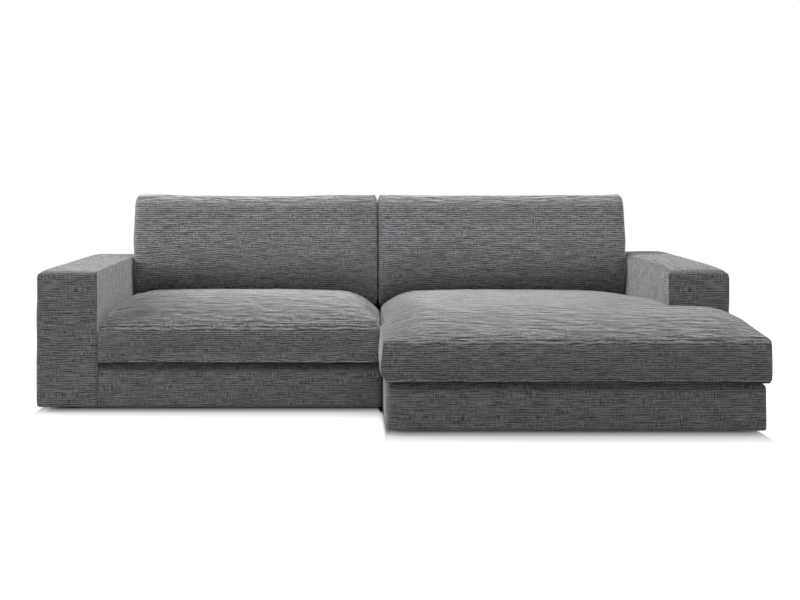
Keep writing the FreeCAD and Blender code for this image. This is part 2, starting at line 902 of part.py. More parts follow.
def crowned_wire(x0, x1, base, seam, crown, run, place, lobe=None, flats=0):
    """Section of a cushion: flat base, sides drawn in at the seams, crowned top.

    A lobe (x of the step, height, run) lowers the top towards x1. With flats, each
    rounded stretch is drawn as that many straight edges.
    """
    left_seam = (x0 + side_draw, seam)
    right_seam = (x1 - side_draw, seam)
    left_top = (x0 + side_draw + run, crown)
    points = [((x0 + side_draw, base), None), ((x1 - side_draw, base), (x1, (base + seam) / 2))]
    if lobe:
        step, height, lobe_run = lobe
        lobe_top = (right_seam[0] - lobe_run, height)
        inner_foot = (step, height)
        inner_top = (step - run, crown)
        points.append((right_seam, crest_point(lobe_top, right_seam, 0.5)))
        points.append((lobe_top, None))
        points.append((inner_foot, crest_point(inner_top, inner_foot, 0.5)))
        points.append((inner_top, None))
    else:
        right_top = (right_seam[0] - run, crown)
        points.append((right_seam, crest_point(right_top, right_seam, 0.5)))
        points.append((right_top, None))
    points.append((left_top, crest_point(left_top, left_seam, 0.5)))
    points.append((left_seam, (x0, (base + seam) / 2)))
    edges = []
    for index, (start, middle) in enumerate(points):
        end = points[(index + 1) % len(points)][0]
        if middle is None:
            edges.append(line(place(*start), place(*end)))
        else:
            edges += rounded(place(*start), place(*middle), place(*end), flats)
    return Part.Wire(edges)


# Front roll of a seat cushion: share of the roll's length behind the front, how far the
# sides and the bottom draw in, how far the seam drops, and the share of the crown left.
seat_roll = (
    (0.0, 14.0, 20.0, 50.0, 0.22),
    (0.06, 4.0, 4.0, 24.0, 0.38),
    (0.3, 0.0, 0.0, 5.0, 0.64),
    (0.65, 0.0, 0.0, 1.0, 0.9),
    (1.0, 0.0, 0.0, 0.0, 1.0),
)

# Fall of the chaise cushion close to its arm: share of the way from the roll to the arm,
# and share of the whole fall.
lobe_fall = ((0.78, 0.0), (0.93, 0.25), (1.0, 1.0))


def seat_sections(x0, x1, y_front, inset, lobe_step=None):
    """Section wires of the front of a seat cushion."""
    wires = []
    base = z_deck + soft_gap + inset
    for along, side, rise, seam_drop, crown_share in seat_roll:
        y = y_front + along * seat_roll_length + (inset if along == 0 else 0)
        seam = z_seam - seam_drop - inset
        crown = seam + crown_share * seat_crown
        lobe = None
        if lobe_step is not None:
            lobe = (lobe_step, crown - lobe_start_drop, lobe_crown_run)
        place = lambda a, b, y=y: vec(a, y, b)
        low = x0 + side + inset
        high = x1 - side - inset
        wires.append(crowned_wire(low, high, base + rise, seam, crown, seat_crown_run, place, lobe))
    return wires


def plain_section(x0, x1, y, inset, lobe=None):
    base = z_deck + soft_gap + inset
    place = lambda a, b: vec(a, y, b)
    seam = z_seam - inset
    crown = z_crown - inset
    return crowned_wire(x0 + inset, x1 - inset, base, seam, crown, seat_crown_run, place, lobe)


def seat_limits(unit):
    """Left and right faces of the seat cushion between the arm and the joint."""
    joint = unit.x(side_gap)
    arm = unit.x(seat_width - side_gap)
    return min(joint, arm), max(joint, arm)


def seat_rear():
    return y_back - back_thickness_at_deck - side_gap


def left_seat_form(inset):
    x0, x1 = seat_limits(left)
    wires = seat_sections(x0, x1, left.y_front - cushion_overhang_front, inset)
    wires.append(plain_section(x0, x1, seat_rear() - inset, inset))
    return Part.makeLoft(wires, True, True)


def chaise_seat_form(inset):
    """L-shaped cushion: a wide front part, and a rear part between the arm and the joint."""
    x0, x1 = seat_limits(chaise)
    x_far = chaise.x(unit_width) + cushion_overhang_side
    y_front = chaise.y_front - cushion_overhang_front
    y_roll = y_front + seat_roll_length
    y_meet = chaise.y_arm - side_gap - inset
    step = x1 - side_draw - inset
    lobe_top = z_crown - lobe_start_drop - inset
    fall = seat_crown - lobe_start_drop - lobe_end_crown
    wires = seat_sections(x0, x_far, y_front, inset, step)
    for along, share in lobe_fall:
        lobe = (step, lobe_top - share * fall, lobe_crown_run)
        wires.append(plain_section(x0, x_far, y_roll + along * (y_meet - y_roll), inset, lobe))
    wide = Part.makeLoft(wires, True, True)
    rear_wires = [plain_section(x0, x1, y, inset) for y in (y_meet, seat_rear() - inset)]
    narrow = Part.makeLoft(rear_wires, True, True)
    return wide.fuse(narrow).removeSplitter()


def back_limits(unit):
    joint = unit.x(back_cushion_gap)
    arm = unit.x(seat_width - back_cushion_gap)
    return min(joint, arm), max(joint, arm)


# Top roll of a back cushion: distance below the top, how far the sides, the rear and the
# seam draw in, and the share of the crown left.
back_roll = (
    (110.0, 1.0, 0.0, 2.0, 0.98),
    (40.0, 5.0, 5.0, 10.0, 0.83),
    (12.0, 17.0, 25.0, 24.0, 0.62),
    (0.0, 36.0, 56.0, 41.0, 0.37),
)


def back_depth(seam_draw, crown_share):
    """Depth of a back cushion at its crown, seam draw and share of the crown given."""
    return back_cushion_side_depth - seam_draw + crown_share * back_cushion_crown


def lean(x, depth, height):
    """Point at a depth in front of the leaning rear face and a height along it."""
    z = z_seam + height * math.cos(rake)
    y = cover_front(z_seam) + height * math.sin(rake)
    depth += soft_gap
    return vec(x, y - depth * math.cos(rake), z + depth * math.sin(rake))


def back_cushion_form(unit, inset):
    """Cushion that leans on the back, its underside shaped to the seat's crown."""
    x0, x1 = back_limits(unit)
    top_depth = back_depth(back_roll[-1][3], back_roll[-1][4])
    reach = (back_cushion_top - z_seam - top_depth * math.sin(rake)) / math.cos(rake)
    start = -back_depth(0, 1) * math.sin(rake)
    length = reach - start
    wires = []
    for below, side, rear, seam_draw, crown_share in ((length, 0, 0, 0, 1),) + back_roll:
        height = reach - below - (inset if below == 0 else 0)
        taper = back_cushion_taper * (1 - below / length)
        low = x0 + side + taper + inset
        high = x1 - side - taper - inset
        crown = back_depth(seam_draw, crown_share) - inset
        seam = back_cushion_side_depth - seam_draw - inset
        place = lambda a, b, height=height: lean(a, b, height)
        section = (low, high, rear + inset, seam, crown, back_cushion_crown_run, place)
        wires.append(crowned_wire(*section, flats=back_cushion_flat_count))
    return Part.makeLoft(wires, True, True).cut(saddle(unit, inset))


def saddle(unit, inset):
    """Everything under the seat cushion's crown, with flats that touch its arcs from above."""
    x0, x1 = seat_limits(unit)
    lift = soft_gap + inset
    seam = z_seam + lift
    crown = z_crown + lift
    corners = []
    for edge, inward in ((x0, 1), (x1, -1)):
        outside = edge - inward * (side_gap + cut_margin)
        foot = (edge + inward * side_draw, seam)
        top = (foot[0] + inward * seat_crown_run, crown)
        _, angle = crest_centre(top, foot)
        reach = 1 / math.cos(angle / 4)
        side = [(outside, z_deck), (outside, seam), foot]
        side += [crest_point(top, foot, share, reach) for share in (0.75, 0.25)]
        corners += side if inward > 0 else side[::-1]
    y0 = y_back - back_thickness_at_deck - 2 * back_depth(0, 1)
    return along_y([(x, z, 0) for x, z in corners], y0, y_back)


def cushion(form):
    """Cover and foam core of a cushion, from the function that makes its form at an inset."""
    core = form(cushion_cover_thickness)
    return form(0.0).cut(core), core


# Every node of the sofa

unit_pieces = {
    "front_rail": front_rail,
    "rear_rail": rear_rail,
    "side_rails": side_rails,
    "cross_rail": lambda unit: drilled(running_rail(unit, "cross"), foot_screw_holes(unit)),
    "corner_blocks": corner_blocks,
    "seat_webbing": seat_webbing,
    "deck_felt": deck_felt,
    "deck_cover": deck_cover,
    "base_foam": base_foam,
    "base_cover": base_cover,
    "dust_cover": dust_cover,
    "back_posts": back_posts,
    "back_rails": back_rails,
    "back_webbing": back_webbing,
    "back_foam": back_foam,
    "back_cover": back_cover,
    "arm_end_boards": arm_end_boards,
    "arm_top_board": arm_top_board,
    "arm_side_panels": arm_side_panels,
    "arm_rails": arm_rails,
    "arm_foam": arm_foam,
    "arm_cover": arm_cover,
    "arm_bolts": arm_bolts,
    "feet": feet,
    "base_screws": base_screws,
    "link": link,
}


def build():
    nodes = {}
    for unit in (left, chaise):
        for name, make in unit_pieces.items():
            nodes[unit.name + "_" + name] = make(unit)
    cushions = {
        "left_seat": left_seat_form,
        "chaise_seat": chaise_seat_form,
        "left_back": lambda inset: back_cushion_form(left, inset),
        "chaise_back": lambda inset: back_cushion_form(chaise, inset),
    }
    for name, form in cushions.items():
        cover, core = cushion(form)
        nodes[name + "_cushion_cover"] = cover
        nodes[name + "_cushion_core"] = core
    return nodes


os.makedirs("parts", exist_ok=True)
for node, shape in build().items():
    if not shape.isValid():
        print("not valid:", node)
    shape.exportStep(os.path.join("parts", node + ".step"))
    print(node, len(shape.Solids), round(shape.Volume / 1e6, 3))
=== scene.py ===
import json
import math

import bmesh
import bpy
import numpy as np
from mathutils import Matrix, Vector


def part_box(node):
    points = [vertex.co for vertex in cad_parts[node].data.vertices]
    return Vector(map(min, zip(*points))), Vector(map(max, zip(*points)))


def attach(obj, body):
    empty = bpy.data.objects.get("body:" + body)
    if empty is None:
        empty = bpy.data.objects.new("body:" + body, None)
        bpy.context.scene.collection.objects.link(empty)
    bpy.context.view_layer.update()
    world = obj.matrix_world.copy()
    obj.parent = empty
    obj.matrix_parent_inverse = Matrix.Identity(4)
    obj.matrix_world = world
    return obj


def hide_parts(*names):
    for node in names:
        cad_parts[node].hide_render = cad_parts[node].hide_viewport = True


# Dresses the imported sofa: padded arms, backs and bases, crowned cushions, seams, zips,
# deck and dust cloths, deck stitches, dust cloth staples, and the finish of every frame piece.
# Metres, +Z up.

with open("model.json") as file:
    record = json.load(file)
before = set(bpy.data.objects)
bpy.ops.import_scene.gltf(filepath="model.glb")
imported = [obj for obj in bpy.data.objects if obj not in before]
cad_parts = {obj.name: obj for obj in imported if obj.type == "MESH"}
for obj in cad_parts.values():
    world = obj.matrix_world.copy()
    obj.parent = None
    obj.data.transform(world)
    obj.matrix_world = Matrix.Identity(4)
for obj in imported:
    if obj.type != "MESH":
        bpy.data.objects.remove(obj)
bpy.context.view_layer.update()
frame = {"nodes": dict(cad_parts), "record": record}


# Sizes read from the frame

def corners(node):
    low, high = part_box(node)
    return np.array(low, float), np.array(high, float)


units = ("left", "chaise")


def boxes(part):
    """Corners of a part's box in each unit."""
    return {unit: corners(unit + "_" + part) for unit in units}


arm_boxes = boxes("arm_cover")
back_boxes = boxes("back_cover")
base_boxes = boxes("base_cover")
deck_boxes = boxes("deck_cover")
dust_boxes = boxes("dust_cover")
seat_boxes = boxes("seat_cushion_cover")
pillow_boxes = boxes("back_cushion_cover")

z_deck = deck_boxes["left"][1][2]
y_arm = arm_boxes["left"][0][1]
# The back leans by this much over its rise above the deck.
back_lean, back_rise = 0.082, 0.385
rake = math.atan2(back_lean, back_rise)
hair = 1e-6  # places nearer than this are one place

# Roundings and seams of the upholstery
arm_outer_top = 0.033
arm_edge = 0.020
arm_upright_edge = 0.012
arm_inner_top = {"left": 0.005, "chaise": 0.020}
arm_crown = {"left": 0.003, "chaise": 0.012}
arm_lift = {"left": 0.0, "chaise": 0.003}
arm_rear_fall = {"left": 0.008, "chaise": 0.0}
arm_foot_edge = 0.018
arm_sewn_edge = 0.005
# The front panel's seam: its distance from the inner edge, and depth and width of its groove,
# of the edge beside it that stands proud, and of the left arm's ridge above it
arm_seam = 0.0045
groove_depth, groove_width = 0.0026, 0.0028
proud_height, proud_width = 0.0010, 0.002
ridge_height, ridge_width = 0.0012, 0.004
base_edge = 0.026
lobe_edge = 0.010
beside_arm_edge = 0.009
beside_arm_top = 0.020
front_strip = 0.030
base_top = 0.009
base_top_side = 0.024
base_recess = 0.017
base_recess_height = 0.070
base_corner_run = 0.050
base_beyond = 0.005
base_bottom = 0.012
back_edge = 0.026
panel_share = 0.97
cloth_thickness = 0.002
lip = 0.060
seam_height = 0.011
side_draw = 0.006
end_draw = 0.0078
rest_gap = 0.0003

# Unevenness of padded cloth: height, length, first seed, stretch, lowest and highest rise,
# and how far the cloth is sunk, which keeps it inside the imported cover
looseness = {
    "arm": (0.0011, 0.23, 11, (1, 2, 1), -0.0015, 0.0012, 0.0010),
    "back": (0.0010, 0.30, 21, (1.5, 1, 1), -0.0012, 0.0010, 0.0012),
    "base": (0.0009, 0.28, 31, (1.5, 1.5, 1), -0.0010, 0.0008, 0.0009),
}

# Seat cushions: heights over the deck, and how far in from each side the crown is full
seat_side = 0.175
seat_crown = {"left": 0.245, "chaise": 0.250}
seat_crown_at_pillow = 0.2300
crown_run = {"left": (0.13, 0.19), "chaise": (0.17, 0.25)}
crown_rise = 0.068
lobe_run = 0.14
# Share of the chaise's crown beside its arm, by y: less where the back cushion presses
beside_arm_share = ([-0.33, -0.017, 0.445], [1.0, 0.80, 0.28])
# The cloth is tucked in below the foot's seam, and the seam stands out as a ridge
side_tuck, front_tuck, inner_tuck = 0.006, 0.010, 0.005
side_ridge, front_ridge, seam_width = 0.0026, 0.0034, 0.0020
front_belly = 0.004
# Where a side runs into the front, its foot is rounded: how far in, and how high it goes
foot_draw, foot_rise, front_run = 0.012, 0.035, 0.05
chaise_draw = 0.005
front_corner = {"left": 0.028, "chaise": 0.014}
arm_corner = 0.014
# The lobe's end: its edge below, its corner beside the arm, and how its upper edge falls
lobe_foot, lobe_corner = 0.016, 0.018
lobe_top_drop, lobe_top_run, lobe_side_drop, lobe_side_run = 0.011, 0.022, 0.012, 0.020
# Unevenness of the cloth, and waves of the foot's seam
seat_give, seat_give_length, seat_give_most = 0.0013, 0.24, 0.0025
seam_wave, seam_wave_length = 0.0012, 0.14
# Grid lines: their pitch, also near the edges, the foot's band, and the least distance
seat_pitch, seat_fine_pitch, foot_band, too_near = 0.018, 0.006, 0.025, 0.004
# Grid lines behind the front and over the foot, close together for the seams there
front_marks = np.array([0.002, 0.005, 0.009, 0.014, 0.020, 0.028, 0.038])
front_marks_end = 0.046
foot_marks = np.array([0, 0.003, 0.006, 0.008, 0.0095, 0.011, 0.0125, 0.014, 0.017, 0.022])

# Height of the top over the deck, by the distance behind the front
front_profile = {
    "left": ([0, 0.006, 0.014, 0.030, 0.055, 0.085, 0.12,
              0.16, 0.21, 0.27, 0.33, 0.40, 0.50, 0.66],
             [0.140, 0.152, 0.162, 0.174, 0.187, 0.199, 0.211,
              0.222, 0.233, 0.242, 0.248, 0.251, 0.251, 0.247]),
    "chaise": ([0, 0.006, 0.014, 0.033, 0.066, 0.104,
                0.149, 0.205, 0.279, 0.381, 0.48, 0.68],
               [0.149, 0.160, 0.168, 0.180, 0.1935, 0.2055,
                0.2175, 0.229, 0.239, 0.246, 0.249, 0.250]),
}
# Height of each side's upper edge over the side seams, by y: left side, then right side
side_edge = {
    "left": (([-0.326, -0.30, -0.12, 0.09, 0.40, 0.58], [-0.012, 0.0, 0.020, 0.026, 0.019, 0.012]),
             ([-0.326, -0.28, 0.00, 0.20, 0.45], [-0.012, 0.0, -0.008, -0.025, -0.035])),
    "chaise": (([-0.756, -0.70, -0.33, 0.00, 0.20, 0.45],
                [-0.014, -0.004, 0.004, -0.006, -0.020, -0.030]),
               ([-0.756, -0.695, -0.651, -0.560, -0.465, -0.367, -0.316, 0.2],
                [-0.002, 0.001, 0.005, 0.012, 0.020, 0.026, 0.028, 0.028])),
}
# Ahead of the left unit the chaise's cushion fills out over the joint: how far, from which y,
# and its share by the height between the seams
joint_bulge = 0.026
joint_bulge_start = -0.34
joint_bulge_share = ([0, 0.06, 0.12, 0.22, 0.32, 0.45, 0.71, 1.0],
                     [0.1, 0.3, 0.62, 0.96, 1.0, 0.96, 0.82, 0.8])

# Back cushions: depth of the sides, and fullness up the front by the share of the height:
# set back at the foot, fullest below the middle, thin at the top
pillow_depth = 0.205
front_seam_inset = 0.022
pillow_front_draw = 0.0045
pillow_ridge, pillow_ridge_width = 0.0016, 0.003
pillow_crown_run, pillow_crown_rise = 0.13, 0.015
# Radii of the corners: in front at the arm and at the joint, at the rear and foot, on top
pillow_arm_corner, pillow_joint_corner, pillow_rear_corner, pillow_top_corner = (
    0.028, 0.017, 0.022, 0.028)
# The front rolls over at the top by about half its depth, and the rear a little
roll_share, front_roll_run, rear_roll, rear_roll_run = 0.48, 0.085, 0.050, 0.06
pillow_corner_lift = 0.007
pillow_give, pillow_give_length, pillow_give_most = 0.0016, 0.3, 0.003
# The joint of the back cushions lies to the left of the units' own, with narrow gaps
pillow_joint_shift, pillow_joint_gap, pillow_arm_gap = 0.0085, 0.0003, 0.0005
# The top's middle lies this far below the solid cushion's top, measured at this depth
pillow_top_below, pillow_top_depth = 0.0045, 0.115
pillow_fullness = ([0, 0.06, 0.14, 0.24, 0.36, 0.5, 0.7, 1.0],
                   [-0.062, -0.037, -0.012, 0.006, 0.014, 0.013, 0.004, -0.004])
# Over the arm the outer side fills out: how far, from which height, over which rise
pillow_over_arm, over_arm_height, over_arm_rise = 0.006, 0.61, 0.06

rib_count = 2 * math.pi / 0.0099
# How much finer the ribs look where the cloth is drawn tight
tautness = {"base": 0.9, "arm": 0.7, "back": 0.7}
cloth_dark = (0.052, 0.053, 0.055)
cloth_light = (0.290, 0.294, 0.303)


# Shader expressions

class Value:
    """A socket of a shader tree that adds Math nodes when it is used in an expression."""

    def __init__(self, tree, socket=None):
        self.tree = tree
        self.socket = socket

    def make(self, kind, settings=None, inputs=None, output=0):
        """Adds a node: its settings first, then the values or links of its sockets."""
        node = self.tree.nodes.new(kind)
        for name, value in (settings or {}).items():
            setattr(node, name, value)
        for name, value in (inputs or {}).items():
            if isinstance(value, Value):
                self.tree.links.new(value.socket, node.inputs[name])
            else:
                node.inputs[name].default_value = value
        return Value(self.tree, None if output is None else node.outputs[output])

    def math(self, operation, *others, clamp=False):
        inputs = dict(enumerate((self,) + others))
        return self.make("ShaderNodeMath", {"operation": operation, "use_clamp": clamp}, inputs)

    def __add__(self, other):
        return self.math("ADD", other)

    __radd__ = __add__

    def __sub__(self, other):
        return self.math("SUBTRACT", other)

    def __rsub__(self, other):
        return (self * -1) + other

    def __mul__(self, other):
        return self.math("MULTIPLY", other)

    __rmul__ = __mul__

    def smooth(self, low, high):
        """0 below low, 1 above high, and a soft step between them."""
        inputs = {"Value": self, "From Min": low, "From Max": high}
        return self.make("ShaderNodeMapRange", {"interpolation_type": "SMOOTHSTEP"}, inputs)


def new_material(name, principled):
    """Material with the constant sockets set; returns it, a start value and its shader."""
    material = bpy.data.materials.new(name)
    material.use_nodes = True
    tree = material.node_tree
    shader = tree.nodes["Principled BSDF"]
    for socket, value in principled.items():
        shader.inputs[socket].default_value = value
    return material, Value(tree), shader


def feed(shader, value, socket):
    value.tree.links.new(value.socket, shader.inputs[socket])


def split(start, source, output):
    """The three coordinates of a Texture Coordinate or UV Map output."""
    settings = {"uv_map": "weave"} if source == "ShaderNodeUVMap" else {}
    place = start.make(source, settings, output=output)
    parts = start.make("ShaderNodeSeparateXYZ", {}, {"Vector": place})
    x, y, z = (Value(start.tree, parts.socket.node.outputs[index]) for index in range(3))
    return x, y, z


def speckle(x, y, along, across, detail=2.0, roughness=0.55):
    """Noise whose spots are about one over along by one over across, in metres."""
    vector = x.make("ShaderNodeCombineXYZ", {}, {"X": x * along, "Y": y * across})
    inputs = {"Vector": vector, "Scale": 1.0, "Detail": detail, "Roughness": roughness}
    return x.make("ShaderNodeTexNoise", {"noise_dimensions": "2D"}, inputs)


def tint(dark, light, share):
    """Colour between two, by a share."""
    colour = share.make("ShaderNodeMix", {"data_type": "RGBA"}, {"Factor": share}, output=2)
    # The colour sockets of a Mix node follow its number and vector sockets.
    for socket, end in ((6, dark), (7, light)):
        colour.socket.node.inputs[socket].default_value = (*end, 1)
    return colour


def paint(shader, dark, light, share, height, depth):
    """Colour between two by a share, and relief of a depth in metres by a height."""
    feed(shader, tint(dark, light, share), "Base Color")
    inputs = {"Height": height, "Distance": depth, "Strength": 1.0}
    feed(shader, share.make("ShaderNodeBump", {}, inputs), "Normal")


def chenille():
    """Dark grey crepe weave: crinkled picks across, broken by patches of short upright ones."""
    material, start, shader = new_material("chenille", {
        "Roughness": 0.85, "Sheen Weight": 1.0, "Sheen Roughness": 0.26,
        "Sheen Tint": (0.96, 0.98, 1.0, 1), "Specular IOR Level": 0.2,
    })
    u, v, _ = split(start, "ShaderNodeUVMap", 0)
    # Nap marks: where the cloth faces up it lies in creases, and less where it is drawn tight; in
    # the colour these marks are painted crease shade and sheen.
    upward, sideways, taut = (
        start.make("ShaderNodeAttribute", {"attribute_name": name}, output=2)
        for name in ("upward", "sideways", "taut"))
    creases = speckle(u, v, 9, 46, 1.0) - 0.5
    folds = speckle(u, v, 28, 12, 2.0) - 0.5
    crease_relief_and_shade = creases * (upward * (1 - taut) * 2.8 + 0.1) + folds * sideways * 0.25
    v = v + (speckle(u, v, 6, 10) - 0.5) * 0.0016
    swing = speckle(u, v, 20, 30, 1.0) * 5
    strength = speckle(u, v, 27, 120, 1.0)
    ribs = (v * rib_count + swing).math("SINE") * (strength - 0.30)
    picks = speckle(u, v, 13, 190, 1.0, 0.5) - 0.5
    upright = speckle(u, v, 190, 34, 1.5, 0.5) - 0.5
    patches = speckle(u, v, 14, 22).smooth(0.48, 0.66)
    yarn = speckle(u, v, 620, 620, 1.0) - 0.5
    ribs = ribs * (1 - taut * 0.6) * (1 - sideways * 0.6)
    weave = (ribs * 1.05 + picks * 0.50) * (1 - patches * 0.3) + upright * (patches * 0.45 + 0.30)
    # The crease marks darken and lighten the colour most on faces that look up: painted shade and
    # sheen of creases, while the bump keeps their real relief.
    share = weave * 2.15 + yarn * 0.35 + crease_relief_and_shade * 0.35
    share = share.math("ADD", 0.5, clamp=True)
    paint(shader, cloth_dark, cloth_light, share, weave + yarn * 0.12 + crease_relief_and_shade * 2.5, 0.0040)
    return material


def plain_cloth(name, dark, light, pitch, roughness=0.9):
    """Thin even weave on the piece's own UV map, for the deck lining and the dust cloth."""
    constant = {"Roughness": roughness, "Specular IOR Level": 0.2}
    material, start, shader = new_material(name, constant)
    u, v, _ = split(start, "ShaderNodeUVMap", 0)
    count = 2 * math.pi / pitch
    warp = (u * count).math("SINE")
    weft = (v * count).math("SINE")
    weave = warp * weft * 0.25 + 0.5
    fibres = speckle(u, v, 420, 420)
    share = weave * 0.6 + fibres * 0.4
    paint(shader, dark, light, share, share, 0.0004)
    return material


def grained(name, dark, light, lengthwise, roughness, ply=0.0):
    """Wood with its grain along one axis of the object; ply gives a layered edge."""
    material, start, shader = new_material(name, {"Roughness": roughness})
    x, y, z = split(start, "ShaderNodeTexCoord", 3)
    axes = {"x": (x, y, z), "y": (y, x, z), "z": (z, x, y)}[lengthwise]
    along, across, third = axes
    wander = speckle(along, across, 3, 20) - 0.5
    rings = speckle(along, across + third * 0.7 + wander * 0.01, 4, 160, 3.0)
    fibres = speckle(along, across + third, 30, 900)
    share = rings * 0.75 + fibres * 0.25
    if ply:
        layers = ((x + y + z) * (math.pi / ply)).math("SINE") * 0.5 + 0.5
        share = share * 0.6 + layers * 0.4
    paint(shader, dark, light, share.smooth(0.3, 0.7), share, 0.0005)
    return material


def pressed_board():
    material, start, shader = new_material("hardboard", {"Roughness": 0.6})
    x, y, z = split(start, "ShaderNodeTexCoord", 3)
    flecks = speckle(x + y * 0.3, z + y, 240, 260, 3.0)
    paint(shader, (0.12, 0.06, 0.03), (0.2, 0.11, 0.06), flecks, flecks, 0.0002)
    return material


def strap_weave():
    """Elastic webbing: ribs across the strap, and paler lines along it."""
    material, start, shader = new_material("webbing", {"Roughness": 0.8})
    x, y, z = split(start, "ShaderNodeTexCoord", 3)
    ribs = ((x + y + z) * 1500).math("SINE") * 0.5 + 0.5
    lines = ((x - y) * 420).math("SINE") * 0.5 + 0.5
    share = ribs * 0.4 + lines.smooth(0.75, 0.95) * 0.6
    paint(shader, (0.02, 0.02, 0.022), (0.3, 0.3, 0.29), share, ribs, 0.0004)
    return material


def flecked(name, constant, colours, slant, scale, depth, rough=None, smooth=None):
    """Fine flecks: the cells of foam, the grain of plastic, the scratches of metal.

    Slant turns the pattern over the upright faces. Rough is the range and the least of a
    roughness that follows the flecks, and smooth spreads the colours between two shares.
    """
    material, start, shader = new_material(name, constant)
    x, y, z = split(start, "ShaderNodeTexCoord", 3)
    flecks = speckle(x + z * slant[0], y + z * slant[1], *scale)
    if rough:
        feed(shader, flecks * rough[0] + rough[1], "Roughness")
    paint(shader, *colours, flecks.smooth(*smooth) if smooth else flecks, flecks, depth)
    return material


def foam_cells(name, dark, light):
    return flecked(name, {"Roughness": 0.95}, (dark, light), (0.37, 1), (700, 700), 0.0008)


def metal(name, colour, roughness, scratch):
    worn = [0.6 * level for level in colour]
    constant = {"Metallic": 1.0, "Base Color": (*colour, 1)}
    return flecked(name, constant, (worn, colour), (1, 0.5), (scratch, 40, 3.0), 0.00005,
                   rough=(0.25, roughness), smooth=(0.2, 0.6))


def moulded():
    colours = (0.012, 0.012, 0.013), (0.03, 0.03, 0.032)
    return flecked("glide_plastic", {"Specular IOR Level": 0.4}, colours, (1, -1), (1400, 1400),
                   0.0001, rough=(0.2, 0.4))


def twisted_thread():
    material, start, shader = new_material("thread", {"Roughness": 0.7, "Specular IOR Level": 0.3})
    x, y, z = split(start, "ShaderNodeTexCoord", 3)
    twist = ((x + y + z * 0.5) * 4200).math("SINE") * 0.5 + 0.5
    fuzz = speckle(x + z, y - z, 900, 900)
    share = twist * 0.6 + fuzz * 0.4
    paint(shader, (0.16, 0.165, 0.17), (0.42, 0.43, 0.44), share, twist, 0.0002)
    return material


finishes = {
    "thread": twisted_thread(),
    "upholstery": chenille(),
    "lining": plain_cloth("lining", (0.02, 0.021, 0.023), (0.06, 0.062, 0.067), 0.0024),
    "dust_cloth": plain_cloth("dust_cloth", (0.006, 0.006, 0.007), (0.03, 0.03, 0.031), 0.0032),
    "webbing": strap_weave(),
    "felt": foam_cells("felt", (0.24, 0.24, 0.23), (0.36, 0.36, 0.35)),
    "foam": foam_cells("foam", (0.5, 0.46, 0.33), (0.66, 0.62, 0.48)),
    "timber": grained("timber", (0.42, 0.27, 0.14), (0.66, 0.48, 0.3), "y", 0.6),
    "plywood": grained("plywood", (0.45, 0.32, 0.19), (0.7, 0.55, 0.37), "z", 0.55, ply=0.0015),
    "hardboard": pressed_board(),
    "zinc_steel": metal("zinc_steel", (0.62, 0.62, 0.6), 0.3, 300),
    "pressed_steel": metal("pressed_steel", (0.36, 0.37, 0.38), 0.38, 120),
    "glide_plastic": moulded(),
}
for row in frame["record"]["subparts"]:
    node = frame["nodes"][row["node"]]
    node.data.materials.clear()
    node.data.materials.append(finishes[row["material_slot"]])


# Surfaces

def lines(start, end, pitch, fine=(), edge=0.0, fine_pitch=0.003):
    """Grid lines pitch apart, closer within edge of the ends and round the fine places."""
    marks = list(np.arange(start, end, pitch)) + [end]
    if edge:
        marks += list(np.arange(start, start + edge, fine_pitch))
        marks += list(np.arange(end, end - edge, -fine_pitch))
    for place, reach in fine:
        marks += list(np.arange(place - reach, place + reach + fine_pitch / 2, fine_pitch))
    marks = np.unique(np.round([m for m in marks if start <= m <= end] + [start, end], 5))
    kept = [marks[0]]
    for mark in marks[1:]:
        if mark - kept[-1] >= fine_pitch * 0.75:
            kept.append(mark)
    kept[-1] = end
    return np.array(kept)


def blocks(xs, ys, zs, keep=None):
    """Points and quads of the outside of the grid's kept cells, faces outwards."""
    middles = [(m[:-1] + m[1:]) / 2 for m in (xs, ys, zs)]
    shape = [len(m) for m in middles]
    full = np.zeros([n + 2 for n in shape], bool)
    inner = np.ones(shape, bool)
    if keep is not None:
        inner = keep(*np.meshgrid(*middles, indexing="ij"))
    full[1:-1, 1:-1, 1:-1] = inner
    counts = (len(xs), len(ys), len(zs))
    quads = []
    for axis in range(3):
        before = np.roll(full, 1, axis)
        for solid, empty, outward in ((full, before, -1), (before, full, 1)):
            cells = np.argwhere(solid & ~empty)
            start = cells - 1
            others = [a for a in range(3) if a != axis]
            ring = []
            for step_a, step_b in ((0, 0), (1, 0), (1, 1), (0, 1)):
                corner = start.copy()
                corner[:, others[0]] += step_a
                corner[:, others[1]] += step_b
                ring.append(np.ravel_multi_index(corner.T, counts))
            flip = (outward > 0) == (axis == 1)
            quads.append(np.stack(ring[::-1] if flip else ring, axis=1))
    quads = np.concatenate(quads)
    used, quads = np.unique(quads, return_inverse=True)
    quads = quads.reshape(-1, 4)
    places = np.stack(np.unravel_index(used, counts), axis=1)
    points = np.stack([xs[places[:, 0]], ys[places[:, 1]], zs[places[:, 2]]], axis=1)
    return points.astype(float), quads


def round_edge(points, axes, corner, inward, radius, where=None):
    """Rounds the edge at a corner of two axes, by drawing square rings into round ones."""
    a, b = axes
    u = 1 - (points[:, a] - corner[0]) * inward[0] / radius
    v = 1 - (points[:, b] - corner[1]) * inward[1] / radius
    inside = (u > 0) & (v > 0)
    if where is not None:
        inside &= where
    u, v = u[inside], v[inside]
    share = np.maximum(u, v) / np.maximum(np.hypot(u, v), 1e-9)
    points[inside, a] = corner[0] + inward[0] * radius * (1 - u * share)
    points[inside, b] = corner[1] + inward[1] * radius * (1 - v * share)


def hill(distance, width):
    """1 at distance 0, falling to 0 about a width away."""
    return np.exp(-((distance / width) ** 2))


